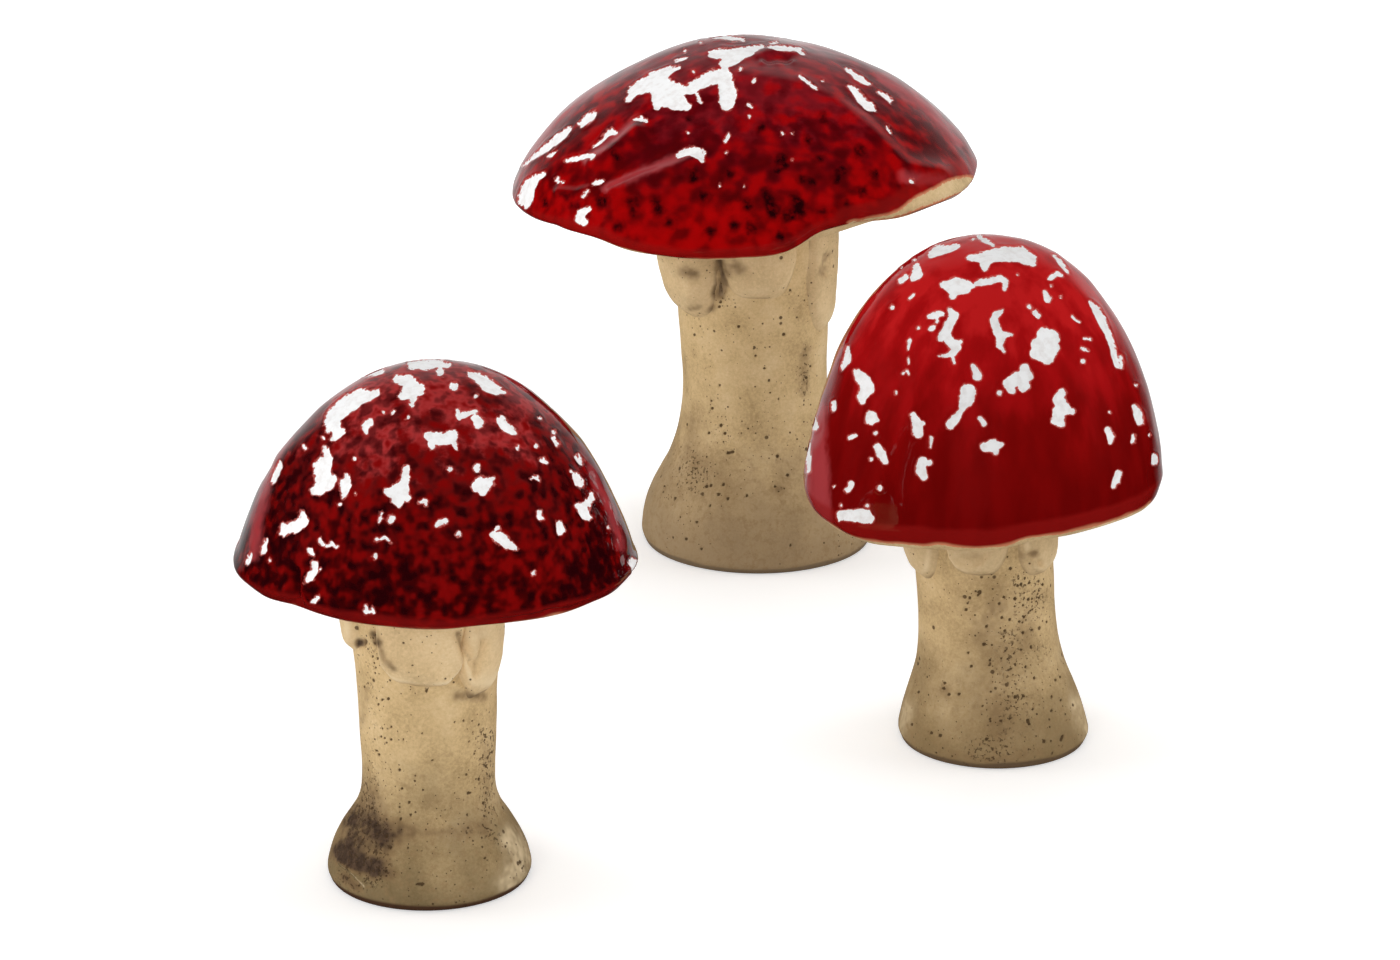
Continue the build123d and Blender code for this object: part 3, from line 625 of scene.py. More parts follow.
def disc_grid(cells):
    """A square grid drawn out to a disc: share of the radius and bearing of each point."""
    side = np.linspace(-1, 1, cells + 1)
    a, b = np.meshgrid(side, side, indexing="ij")
    share = np.maximum(abs(a), abs(b))
    safe_a = np.where(a == 0, 1, a)
    safe_b = np.where(b == 0, 1, b)
    along_a = math.pi / 4 * b / safe_a + np.where(a < 0, math.pi, 0)
    along_b = math.pi / 2 - math.pi / 4 * a / safe_b + np.where(b < 0, math.pi, 0)
    return share.ravel(), (np.where(abs(a) >= abs(b), along_a, along_b) % TURN).ravel()


def ring_order(share, bearing):
    """The grid's points ring by ring from the middle out, each ring in order of bearing."""
    ring = np.rint(share * CAP_CELLS / 2).astype(int)
    order = np.lexsort((bearing, ring))
    return np.split(order, np.flatnonzero(np.diff(ring[order])) + 1)


def even_rings(reach, rings):
    """Distances over the grid with the short waves taken out, around the rings and across them."""
    last = len(rings) - 1
    waves = np.zeros((len(rings), RING_WAVES + 1), complex)
    for k, ring in enumerate(rings):
        kept = max(1, round(RING_WAVES * k / last)) if k else 0
        waves[k, :kept + 1] = np.fft.rfft(reach[ring])[:kept + 1] / len(ring)
    sign = (-1.0) ** np.arange(RING_WAVES + 1)
    for _ in range(RING_EVENING):
        inner = np.vstack((sign * waves[1], waves[:-1]))
        outer = np.vstack((waves[1:], 2 * waves[-1] - waves[-2]))
        waves = waves / 2 + (inner + outer) / 4
    even = np.empty_like(reach)
    for k, ring in enumerate(rings):
        even[ring] = np.fft.irfft(waves[k] * len(ring), len(ring)) if k else waves[0, 0].real
    return even


def widest_line(tree, middle, bearings, lowest):
    """The cap's widest line, found near its lip: distance out, height and wall at even bearings."""
    heights = np.linspace(lowest + 1 * MM, lowest + 16 * MM, 15)
    out = outward(bearings)
    reach = np.nan_to_num([reach_at(tree, middle, out, height) for height in heights])
    radius = low_waves(reach.max(axis=0), RIM_WAVES[0])
    level = low_waves(heights[np.argmax(reach, axis=0)], RIM_WAVES[1])
    return radius, level, low_waves(radius - hollow_at(tree, middle, out, level), RIM_WAVES[2])


def make_cap(name):
    """A cap from its CAD solid: an even grid over the dome, the lip and the hollow inside."""
    tree = shape_tree(name)
    low, high = (np.array(corner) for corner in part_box(name))
    middle = (low + high) / 2
    columns = 4 * CAP_CELLS
    radius, level, wall = widest_line(tree, middle, np.arange(columns) * TURN / columns, low[2])
    middle[2] = level.mean()

    share, bearing = disc_grid(CAP_CELLS)
    end_level = read_ring(level, bearing)
    end_polar = math.pi / 2 - np.arctan2(end_level - middle[2], read_ring(radius, bearing))
    ways = leaning(outward(bearing), share * end_polar)
    reach = FAR - cast(tree, middle + ways * FAR, -ways, FAR)
    reach = even_rings(filled(reach), ring_order(share, bearing))
    dome = middle + ways * reach[:, None]
    at = np.arange(len(dome)).reshape(CAP_CELLS + 1, -1)
    faces = np.stack((at[:-1, :-1], at[1:, :-1], at[1:, 1:], at[:-1, 1:]), axis=-1).reshape(-1, 4).tolist()

    edge = np.flatnonzero(share == 1)
    edge = edge[np.argsort(bearing[edge])]
    out = outward(bearing[edge])
    half_wall = read_ring(wall, bearing[edge]) / 2
    core = dome[edge] - out * half_wall[:, None]
    turns = np.linspace(0, math.pi, LIP_RINGS + 1)[1:]
    ways = [out * math.cos(turn) - UP * math.sin(turn) for turn in turns]
    lip = [filled(LIP_REACH - cast(tree, core + way * LIP_REACH, -way, LIP_REACH)) for way in ways]
    lip = smoothed(np.array(lip), LIP_EVENING, wrap=True)
    rings = [core + way * far[:, None] for way, far in zip(ways, lip)]

    last = rings[-1] - middle
    start_polar = np.arctan2(np.hypot(last[:, 0], last[:, 1]), last[:, 2])
    for k in range(1, INNER_RINGS):
        way = leaning(out, start_polar * (1 - k / INNER_RINGS))
        far = hollow_at(tree, middle, way, middle[2])
        rings.append(middle + way * low_waves(far, INNER_WAVES)[:, None])
    pole = middle + UP * np.linalg.norm(rings[-1] - middle, axis=1).mean()

    first = len(dome)
    points = np.vstack([dome, *rings, pole[None]])
    last_ring = len(points) - 1 - columns
    edge = edge.tolist()
    pairs = [(c, (c + 1) % columns) for c in range(columns)]
    faces += [(edge[c], first + c, first + d, edge[d]) for c, d in pairs]
    faces += ring_faces(len(rings), columns, first)
    faces += [(len(points) - 1, last_ring + d, last_ring + c) for c, d in pairs]

    # how far each point is below the widest line, measured along the lip
    on_dome = end_level - dome[:, 2]
    on_lip = np.outer(turns, half_wall).ravel()
    inside = np.full(len(points) - len(on_dome) - len(on_lip), FAR)
    return make_mesh(name + "_glazed", points, faces), np.concatenate((on_dome, on_lip, inside))


def hidden_patches(points, normals, facing, seed, count):
    """Strokes like the photographed ones, on the side that the photograph doesn't show."""
    random = np.random.default_rng(seed)
    open_points = np.flatnonzero(facing < -0.05)
    strokes = []
    for _ in range(count):
        k = random.choice(open_points)
        at, normal = points[k], normals[k]
        size = (0.45 + 2.3 * random.random() ** 2.5) * MM
        way = np.cross(normal, random.normal(size=3))
        way /= np.linalg.norm(way)
        stroke = []
        for _ in range(random.integers(1, 6)):
            stroke.append((*at, size * random.uniform(0.6, 1.2)))
            way = way + 0.6 * np.cross(normal, way) * random.normal()
            way /= np.linalg.norm(way)
            at = at + way * size * random.uniform(1.0, 2.0)
        strokes.append(stroke)
    return strokes


def dress_cap(name, patches, thin_and_sheen_strokes, forms, lip_waves, corner, glaze_line, ragged, seed, hidden,
              bare_lip=(), pools=()):
    """A cap with its hand-made unevenness, its crawled patches and the line where the glaze ends.

    corner is how full the lip is and glaze_line how far below the widest line the glaze ends (mm).
    ragged is how torn the patches are (pixels), and hidden how many there are on the far side.
    """
    piece, below = make_cap(name)
    points, normals = points_of(piece)
    lift = 0.7 * MM * noise(points * (1, 1, 0.3), 17 * MM, seed + 8) * ramp(below, -7 * MM, 1 * MM)
    lift += pressed(*photo_pixels(points), lip_waves)
    points = points + np.outer(lift * (1 - ramp(below, 6 * MM, 10 * MM)), UP)
    outside = 1 - ramp(below, 3 * MM, 6 * MM)
    facing = facing_photo(points, normals)
    seen = ramp(facing, 0.0, 0.12)
    pixels, per_pixel = photo_pixels(points)

    rise = pressed(pixels, per_pixel, forms) * seen
    rise += corner * MM * np.exp(-(below / (2.2 * MM)) ** 2)
    rise += lumps(points, CAP_LUMPS, seed)

    wander = np.stack([noise(points, 2.6 * MM, seed + k) for k in (3, 4)], axis=1)
    wander += 0.6 * np.stack([noise(points, 1.1 * MM, seed + k) for k in (5, 6)], axis=1)
    bare = inside_strokes(pixels + ragged * wander, patches) * per_pixel
    back = inside_strokes(points, hidden_patches(points, normals, facing, seed, hidden))
    back += 0.3 * ragged * MM * wander[:, 0] - 10 * MM * ramp(facing, -0.05, 0.1)
    bare = np.maximum(np.where(facing > 0.0, bare, -1.0), back)

    clay = below - glaze_line * MM + 0.5 * MM * noise(points, 5 * MM, seed + 7)
    strip = inside_strokes(pixels + 0.6 * wander, bare_lip) * per_pixel
    clay = np.maximum(clay, np.where(facing > 0.0, strip, -1.0))
    bare = np.minimum(bare, -clay - 0.6 * MM)

    rise -= GLAZE_DEPTH * ramp(bare, -0.25 * MM, 0.35 * MM)
    rise += GLAZE_ROLL * np.exp(-((bare + 0.55 * MM) / (0.4 * MM)) ** 2)
    rise -= GLAZE_DEPTH * ramp(clay, -0.3 * MM, 0.4 * MM)
    set_points(piece, points + normals * (rise * outside)[:, None])
    pooled = ramp(inside_strokes(pixels + 2.4 * wander, pools), -8.0, 5.0)
    # Thin strokes paint the glaze pinker: partly thin glaze over folds, partly a painted highlight and sheen
    thin_and_sheen = ramp(inside_strokes(pixels + 1.5 * wander, thin_and_sheen_strokes), -9.0, 3.0)
    set_fields(piece, bare=bare / MM, clay=clay / MM, pool=(pooled - thin_and_sheen) * seen)
    return piece


# Stems and the clay that lutes them on

def roughness_at(pixels, facing, rough):
    """How much the rough places add at points that the photograph shows."""
    total = np.zeros(len(pixels))
    for line, width, amount in rough:
        total += amount * np.exp(-(gap_to(pixels, line) / width) ** 2)
    return total * ramp(facing, 0.0, 0.2)


def soil_and_shading_at(points, pixels, facing, soil_and_shading, seed):
    """How dark the soil marks and painted shade are at each point, negative where clay is wiped pale
    and where a highlight is painted.
    """
    patchy = 1.0 + 0.3 * noise(points, 5 * MM, seed) + 0.3 * noise(points, 1.3 * MM, seed + 1)
    total = np.zeros(len(points))
    for line, width, dark in soil_and_shading:
        total = total + dark * np.exp(-(gap_to(pixels, line) / width) ** 2) * (1 - 0.5 * total)
    hidden = 0.35 * ramp(noise(points, 24 * MM, seed + 2), 0.1, 0.8)
    share = ramp(facing, -0.05, 0.2)
    return np.clip((total * share + hidden * (1 - share)) * patchy, -1, 1)


class Stem:
    """A stem's outer form, read from its CAD solid about an upright line."""

    def __init__(self, name):
        self.name = name
        self.tree = shape_tree(name)
        low, high = (np.array(corner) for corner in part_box(name))
        self.middle = (low + high) / 2
        self.top = high[2]
        self.heights = np.linspace(low[2] + 0.6 * MM, self.top - 0.2 * MM, 130)
        out = outward(np.arange(96) * TURN / 96)
        table = [filled(reach_at(self.tree, self.middle, out, height)) for height in self.heights]
        self.table = smoothed(np.array(table), 2, wrap=True)

    def place(self, out, radius, height):
        """Points along level ways, at radii and heights."""
        radius, height = (np.asarray(values)[..., None] for values in (radius, height))
        return self.middle * LEVEL + out * radius + UP * height

    def rings(self, heights, columns):
        """Radii of whole rings, at more bearings than the table has."""
        rows = np.stack([np.interp(heights, self.heights, column) for column in self.table.T], axis=1)
        waves = np.fft.rfft(rows, axis=1)
        waves[:, STEM_WAVES + 1:] = 0
        return np.fft.irfft(waves, columns, axis=1) * columns / rows.shape[1]

    def radius_at(self, bearing, height):
        """Radii at single bearings and heights."""
        columns = self.table.shape[1]
        at = bearing % TURN / TURN * columns
        left = np.floor(at).astype(int)
        share = at - left
        rows = np.interp(height, self.heights, np.arange(len(self.heights)))
        row = np.clip(np.floor(rows).astype(int), 0, len(self.heights) - 2)
        rest = rows - row
        value = 0
        for side, across in ((0, 1 - share), (1, share)):
            for step, down in ((0, 1 - rest), (1, rest)):
                value = value + across * down * self.table[row + step, (left + side) % columns]
        return value


def make_stem(stem, pits, soil_and_shading, rough, forms, seed):
    """A stem with its foot, the hollow inside, pits, and soil marks with painted shade and highlights."""
    columns = int(TURN * stem.table.max() / STEM_SPACING / 1.25)
    out = outward(np.arange(columns) * TURN / columns)
    heights = np.linspace(stem.top, 1.2 * MM, int(stem.top / STEM_SPACING))
    radii = stem.rings(heights, columns)
    rings = [stem.place(out, radius, height) for radius, height in zip(radii, heights)]
    outer_count = len(rings) * columns
    for inward, height in FOOT_EDGE:
        rings.append(stem.place(out, radii[-1] - inward * MM, height * MM))
    for height in np.linspace(1.0 * MM, stem.top - 1.0 * MM, 40):
        far = hollow_at(stem.tree, stem.middle, out, height)
        rings.append(stem.place(out, low_waves(far, STEM_WAVES), height))
    points = np.vstack(rings)
    piece = make_mesh(stem.name + "_clay", points, ring_faces(len(rings), columns, close_rows=True))
    normals = points_of(piece)[1]
    facing = facing_photo(points, normals)
    pixels, per_pixel = photo_pixels(points)
    wall = np.arange(len(points)) < outer_count
    low_fade = ramp(points[:, 2], 0.5 * MM, 4 * MM)

    rise = lumps(points, STEM_LUMPS, seed)
    rise += 0.05 * MM * noise(points * (1, 1, 0.4), 2.2 * MM, seed + 2)
    rise += pressed(pixels, per_pixel, forms) * ramp(facing, 0.0, 0.15)

    shown = np.where(facing > 0.05, inside_strokes(pixels, pits) * per_pixel, -1.0)
    random = np.random.default_rng(seed)
    spots = points[random.choice(np.flatnonzero(wall & (facing < -0.1)), HIDDEN_PITS)]
    sizes = random.uniform(0.25, 0.55, HIDDEN_PITS) * MM
    hidden = inside_strokes(points, np.column_stack((spots, sizes)))
    pit = ramp(np.maximum(shown, hidden), -0.25 * MM, 0.2 * MM)
    rise -= PIT_DEPTH * pit
    set_points(piece, points + normals * (rise * wall * low_fade)[:, None])
    # Soil marks and painted shade darken the clay; wiped clay and painted highlights make it paler
    dark = soil_and_shading_at(points, pixels, facing, soil_and_shading, seed + 3)
    specks = 0.35 + 0.6 * noise(points, 17 * MM, seed + 5) + 0.6 * dark
    specks += roughness_at(pixels, facing, rough)
    foot = ramp(-points[:, 2] + 0.6 * MM * noise(points, 9 * MM, seed + 6), -2.5 * MM, -1.5 * MM)
    set_fields(piece, pit=pit * wall, stain=dark * wall, specks=specks, foot=foot)
    return piece


def make_wad(name, stem, soil_and_shading, forms, soft, rim_height, seed):
    """A wad of luting clay, pressed against the stem and smeared thin at its edges.

    soft is how often its edges are evened out, and rim_height how far its rim stands up, in mm,
    and how strongly the rim is painted paler.
    """
    tree = shape_tree(name)
    low, high = (np.array(corner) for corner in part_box(name))
    centre = (low + high) / 2 - stem.middle
    bearing = math.atan2(centre[1], centre[0])
    turns = [(math.atan2(y - stem.middle[1], x - stem.middle[0]) - bearing + math.pi) % TURN - math.pi
             for x in (low[0], high[0]) for y in (low[1], high[1])]
    outer = stem.table.max()
    half = min(max(abs(turn) for turn in turns) + WAD_MARGIN / outer, 1.5)
    top = high[2]
    heights = np.linspace(low[2] - WAD_MARGIN, top, int((top - low[2] + WAD_MARGIN) / WAD_SPACING))
    bearings = bearing + np.linspace(-half, half, int(2 * half * np.hypot(*centre[:2]) / WAD_SPACING))
    shape = (len(heights), len(bearings))
    bearing, height = (grid.ravel() for grid in np.meshgrid(bearings, heights))
    out = outward(bearing)
    wall = stem.radius_at(bearing, height)
    skin = stem.place(out, wall, height)
    sway, dip = (1.3 * MM * noise(skin, 8 * MM, seed + k) for k in (6, 7))
    swayed = bearing + sway / outer
    aim = outward(swayed)
    start = stem.place(aim, FAR, np.minimum(height + dip, top - 0.1 * MM))
    found = FAR - cast(tree, start, -aim, FAR)
    thick = np.fmax(found - stem.radius_at(swayed, height + dip), WAD_SUNK)
    thick = smoothed(thick.reshape(shape), soft).ravel()
    front = stem.place(out, wall + thick, height)
    back = stem.place(out, wall - WAD_DEPTH, height)

    pixels, per_pixel = photo_pixels(front)
    facing = facing_photo(front, out)
    inside = ramp(thick, -1.2 * MM, 1.0 * MM)
    rise = pressed(pixels, per_pixel, forms) * ramp(facing, 0.0, 0.15) + lumps(front, WAD_LUMPS, seed)
    rim = np.exp(-((thick / MM - 1.7) / 0.9) ** 2)
    front += out * (rise * inside + rim_height * MM * rim)[:, None]

    count = len(front)
    at = np.arange(count).reshape(shape)
    quads = np.stack((at[:-1, :-1], at[:-1, 1:], at[1:, 1:], at[1:, :-1]), axis=-1).reshape(-1, 4)
    faces = quads.tolist() + (quads[:, ::-1] + count).tolist()
    border = np.concatenate((at[0, :], at[1:, -1], at[-1, -2::-1], at[-2:0:-1, 0])).tolist()
    faces += [(b, a, a + count, b + count) for a, b in zip(border, border[1:] + border[:1])]
    points = np.vstack((front, back))
    piece = make_mesh(name + "_pressed", points, faces)
    # Soil marks and painted shade, wiped clay and painted highlights, as on the stem
    dark = soil_and_shading_at(points, np.tile(pixels, (2, 1)), np.tile(facing, 2), soil_and_shading, seed + 3)
    # Darker along the wad's edge on the stem: partly a dark joint, partly painted shade
    seam = np.exp(-(thick / (0.8 * MM)) ** 2) * 0.35 * (0.6 + 0.5 * noise(front, 4 * MM, seed + 4))
    # The raised rim is painted paler: partly paler smoothed clay, partly a painted highlight
    pale = 1.2 * rim_height * rim * (0.7 + 0.5 * noise(front, 6 * MM, seed + 8))
    none = np.zeros(2 * count)
    set_fields(piece, stain=np.clip(dark + np.tile(seam - pale, 2), -1, 1), pit=none,
               specks=0.25 + 0.4 * noise(points, 9 * MM, seed + 5), foot=none)
    return piece


# Materials

class Nodes:
    """Builds the nodes of a material or a world."""

    def __init__(self, owner):
        owner.use_nodes = True
        self.tree = owner.node_tree

    def node(self, kind, inputs=None, **settings):
        made = self.tree.nodes.new(kind)
        for key, value in settings.items():
            setattr(made, key, value)
        for key, value in (inputs or {}).items():
            self.feed(made.inputs[key], value)
        return made

    def feed(self, socket, value):
        if isinstance(value, bpy.types.NodeSocket):
            self.tree.links.new(value, socket)
        else:
            socket.default_value = (*value, 1) if socket.type == "RGBA" else value

    def maths(self, work, a, b):
        return self.node("ShaderNodeMath", {0: a, 1: b}, operation=work).outputs[0]

    def between(self, value, low, high, start=0.0, end=1.0, easing="SMOOTHSTEP"):
        made = self.node("ShaderNodeMapRange", {
            "Value": value, "From Min": low, "From Max": high, "To Min": start, "To Max": end},
            interpolation_type=easing)
        return made.outputs[0]

    def choose(self, share, a, b):
        """One shader or the other."""
        return self.node("ShaderNodeMixShader", {0: share, 1: a, 2: b}).outputs[0]


class Paint(Nodes):
    """Builds one procedural material."""

    def __init__(self, name):
        self.material = bpy.data.materials.new(name)
        super().__init__(self.material)
        self.shader = self.tree.nodes["Principled BSDF"]
        self.place = self.node("ShaderNodeTexCoord").outputs["Object"]
        self.height = self.node("ShaderNodeSeparateXYZ", {"Vector": self.place}).outputs["Z"]

    def set(self, **sockets):
        for key, value in sockets.items():
            self.feed(self.shader.inputs[key.replace("_", " ")], value)

    def field(self, name):
        return self.node("ShaderNodeAttribute", attribute_name=name).outputs["Fac"]

    def grain(self, size, detail=3.0, rough=0.55, stretch=None):
        """Noise about one size (mm) across, stretched along the axes if asked."""
        place = self.place
        if stretch:
            place = self.node("ShaderNodeMapping", {"Vector": place, "Scale": stretch}).outputs[0]
        made = self.node("ShaderNodeTexNoise", {
            "Vector": place, "Scale": 1 / (size * MM), "Detail": detail, "Roughness": rough})
        return made.outputs["Fac"]

    def mix(self, share, a, b):
        made = self.node("ShaderNodeMix", {"Factor": share, "A": a, "B": b}, data_type="RGBA")
        return made.outputs["Result"]

    def colours(self, value, stops):
        made = self.node("ShaderNodeValToRGB", {"Fac": value})
        bands = made.color_ramp.elements
        while len(bands) < len(stops):
            bands.new(0.5)
        for band, (at, colour) in zip(bands, stops):
            band.position = at
            band.color = (*colour, 1)
        return made.outputs["Color"]

    def bump(self, height, depth, under=None):
        inputs = {"Height": height, "Strength": 1.0, "Distance": depth * MM}
        if under:
            inputs["Normal"] = under
        return self.node("ShaderNodeBump", inputs).outputs["Normal"]


# Clay, from its dark clouds to its pale ones, and what marks it
STONEWARE = ((0.40, 0.275, 0.130), (0.61, 0.435, 0.222), (0.71, 0.53, 0.30))
LUTING_CLAY = ((0.53, 0.380, 0.200), (0.69, 0.505, 0.280), (0.78, 0.597, 0.358))
LOWER_BROWN = (0.27, 0.172, 0.082)
# The stain and soil tones also paint shade, and the wiped tone also paints highlights
STAIN_AND_SHADE_BROWN = (0.235, 0.145, 0.068)
SOIL_AND_SHADE_TONES = ((0.35, (0.030, 0.017, 0.012)), (0.65, (0.092, 0.055, 0.034)))
WIPED_CLAY_AND_HIGHLIGHT = (0.80, 0.635, 0.40)
IRON_SPECK = (0.075, 0.043, 0.020)
SPECK_KINDS = ((1.3, 0.8), (2.3, 0.55), (4.4, 0.4))     # spacing (mm) and how common

# The glaze where it pools, runs thin and is painted with a sheen, tears, thickens at the lip and ends
POOL_RED = (0.016, 0.0006, 0.0016)
THIN_AND_SHEEN_RED = (0.47, 0.062, 0.070)
TORN_PINK = (0.60, 0.13, 0.11)
LIP_RED = (0.25, 0.007, 0.006)
END_LINE = (0.68, 0.27, 0.14)
SLIP_SHADE = (0.87, 0.84, 0.825)


def clay_colour(paint, tones):
    """Buff clay: soft clouds and fine grit."""
    clouds = paint.maths("MULTIPLY", paint.grain(16, 4), 0.6)
    grit = paint.maths("MULTIPLY", paint.grain(0.9, 3, 0.7), 0.4)
    return paint.colours(paint.maths("ADD", clouds, grit), tuple(zip((0.34, 0.52, 0.68), tones)))


def glaze_paint(name, node, reds_and_shading, torn_edge, slip_tone, mottle=None):
    """Red glaze over white slip that shows where it crawled. It is lighter at the crown and darker below,
    partly from thin and pooled glaze and partly as painted light and painted shade.

    The reds run from the lip to the crown and hold that painted light and shade.
    mottle is the bright red between dark spots, how strong both are and their size (mm).
    A glaze without mottle has run down in streaks.
    """
    paint = Paint(name)
    low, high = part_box(node)
    # Lighter at the crown, darker below: partly thin and pooled glaze, partly painted light and shade
    rise = paint.between(paint.height, low.z, high.z)
    clouds = paint.grain(9, 4, 0.6) if mottle else paint.grain(7, 3, 0.5, (1, 1, 0.25))
    tone = paint.maths("ADD", rise, paint.between(clouds, 0.25, 0.75, -0.2, 0.2))
    red = paint.colours(tone, reds_and_shading)
    pool = paint.field("pool")
    if mottle:
        lit_red, strength, size = mottle
        wide = paint.between(paint.grain(26, 2), 0.3, 0.7, -0.08, 0.08)
        spots = paint.maths("ADD", paint.grain(size, 1, 0.4), wide)
        red = paint.mix(paint.between(spots, 0.54, 0.22, 0.0, 0.3 + 0.7 * strength), red, lit_red)
        dark = paint.maths("MULTIPLY", paint.between(spots, 0.41, 0.70),
                           paint.between(rise, 1.0, 0.5, 0.68 * strength, strength))
        deep = paint.maths("MULTIPLY", paint.between(pool, 0.0, 1.0),
                           paint.between(paint.grain(2.6, 2), 0.25, 0.6, 0.5, 1.0))
        red = paint.mix(paint.maths("MAXIMUM", dark, deep), red, POOL_RED)
    # Below 0 the glaze is painted pinker: partly thin glaze, partly a painted highlight and sheen
    red = paint.mix(paint.between(pool, 0.0, -1.0, 0.0, 0.6), red, THIN_AND_SHEEN_RED)

    clay = paint.field("clay")
    torn = paint.between(paint.grain(1.3, 3, 0.6), 0.25, 0.75, -torn_edge, torn_edge)
    edge = paint.maths("ADD", paint.field("bare"), torn)
    red = paint.mix(paint.between(edge, -0.5, -0.02, 0.0, 0.7), red, TORN_PINK)
    red = paint.mix(paint.between(clay, -6.5, -4.5, 0.0, 0.6), red, LIP_RED)
    red = paint.mix(paint.between(clay, -1.3, -0.05, 0.0, 0.85), red, END_LINE)

    shade = [slip_tone * part for part in SLIP_SHADE]
    slip = paint.colours(paint.grain(2.2, 4, 0.6), ((0.3, shade), (0.55, (slip_tone,) * 3)))
    white = paint.between(edge, -0.05, 0.10)
    bare_clay = paint.between(paint.maths("ADD", clay, torn), -0.1, 0.15)
    colour = paint.mix(bare_clay, paint.mix(white, red, slip), clay_colour(paint, STONEWARE))
    dry = paint.maths("MAXIMUM", paint.between(white, 0.0, 1.0, 0.06, 0.40),
                      paint.between(bare_clay, 0.0, 1.0, 0.06, 0.75))
    skin = paint.bump(paint.grain(3.2, 2), 0.03)
    paint.set(Base_Color=colour, Roughness=dry, Normal=skin, Specular_IOR_Level=0.4)
    return paint.material


def stoneware_paint(name, tones, low_tone, low_height, foot):
    """Bare matt stoneware with iron specks, pits, soil rubbed into it, and painted shade and highlights.

    Below low_height (mm) it turns to low_tone, and foot is the colour under it.
    """
    paint = Paint(name)
    colour = clay_colour(paint, tones)
    # Darker towards the bottom of the stem, and more and more blotched with brown towards it
    uneven = paint.maths("ADD", paint.height, paint.between(paint.grain(22, 3), 0.2, 0.8, -0.012, 0.012))
    colour = paint.mix(paint.between(uneven, low_height * MM, 0.0, 0.0, 0.8), colour, low_tone)
    lower_blotches = paint.maths("MULTIPLY", paint.between(paint.grain(2.4, 4, 0.7), 0.47, 0.68),
                         paint.between(uneven, low_height * MM, 0.3 * low_height * MM, 0.08, 0.55))
    colour = paint.mix(lower_blotches, colour, LOWER_BROWN)
    # The stain field is soil and painted shade above 0, wiped clay and painted highlights below 0
    stain = paint.field("stain")
    colour = paint.mix(paint.between(stain, 0.0, 0.5, 0.0, 0.7), colour, STAIN_AND_SHADE_BROWN)
    soil_and_shading = paint.colours(paint.grain(2.0, 4, 0.65), SOIL_AND_SHADE_TONES)
    colour = paint.mix(paint.between(stain, 0.18, 0.98, 0.0, 0.95), colour, soil_and_shading)
    colour = paint.mix(paint.between(stain, -0.05, -0.6, 0.0, 0.75), colour, WIPED_CLAY_AND_HIGHLIGHT)
    amount = paint.field("specks")
    dots = paint.maths("MULTIPLY", paint.between(paint.grain(1.1, 2, 0.6), 0.55, 0.66),
                       paint.between(amount, 0.7, 1.5))
    for size, share in SPECK_KINDS:
        cells = paint.node("ShaderNodeTexVoronoi", {"Vector": paint.place, "Scale": 1 / (size * MM)}).outputs
        pick = paint.node("ShaderNodeSeparateColor", {"Color": cells["Color"]}).outputs[0]
        rare = paint.maths("LESS_THAN", pick, paint.maths("MULTIPLY", amount, share))
        specks = paint.maths("MULTIPLY", paint.between(cells["Distance"], 0.19, 0.09), rare)
        dots = paint.maths("MAXIMUM", dots, specks)
    pits = paint.maths("MAXIMUM", paint.between(paint.field("pit"), 0.15, 0.6), dots)
    colour = paint.mix(paint.between(pits, 0.0, 1.0, 0.0, 0.85), colour, IRON_SPECK)
    colour = paint.mix(paint.field("foot"), colour, foot)
    grit = paint.bump(paint.grain(0.7, 4, 0.7), 0.07)
    holes = paint.bump(paint.between(dots, 0.0, 1.0, 1.0, 0.0), 0.25, grit)
    matt = paint.between(paint.grain(5, 3), 0.3, 0.7, 0.72, 0.9)
    paint.set(Base_Color=colour, Roughness=matt, Normal=holes, Specular_IOR_Level=0.12)
    return paint.material


# Camera, floor and light

WHITE = (1, 1, 1)
AMBIENT = 0.46                           # even light from the pale room

# The tent behind the object, as the glaze mirrors it: the way to it, the edge of its glow, and its fall
# from below the horizon to above it
TENT_WAY = (0, 1, 0.25)
TENT_EDGE = (0.66, 1.05)
TENT_FALL = (-0.3, 0.3, 1.0, 0.42)

# The floor: how far it goes, its white to the camera and to other rays, and its own glow to the camera,
# from near the object to far from it (m, then strength)
FLOOR_REACH = 6.0
FLOOR_SHOWN = (0.88, 0.88, 0.88)
FLOOR_PLAIN = (0.80, 0.80, 0.80)
FLOOR_GLOW = (0.30, 0.85, 0.38, 1.0)

# Soft panels: place, aim, width and height, and how bright each looks, where 1 is white
LAMPS = {
    "left_panel": ((-1.3, 0.10, 0.3), (0, 0, 0.1), (1.0, 1.0), 3.2),
    "right_panel": ((1.3, 0.10, 0.3), (0, 0, 0.1), (1.0, 1.0), 2.8),
    "top_panel": ((0, 0.35, 1.4), (0, 0, 0.1), (1.4, 1.2), 1.1),
    "front_panel": ((-0.2, -1.7, 0.55), (0, 0, 0.08), (1.3, 0.9), 3.0),
}


def make_camera():
    camera = bpy.data.cameras.new("camera")
    camera.lens = CAMERA_LENS
    camera.sensor_width = SENSOR_WIDTH
    camera.sensor_fit = "HORIZONTAL"
    view = bpy.data.objects.new("camera", camera)
    view.location = CAMERA_AT
    view.rotation_euler = (math.pi / 2 - CAMERA_PITCH, 0, 0)
    bpy.context.scene.collection.objects.link(view)
    bpy.context.scene.camera = view
    bpy.context.scene.view_settings.view_transform = "Standard"


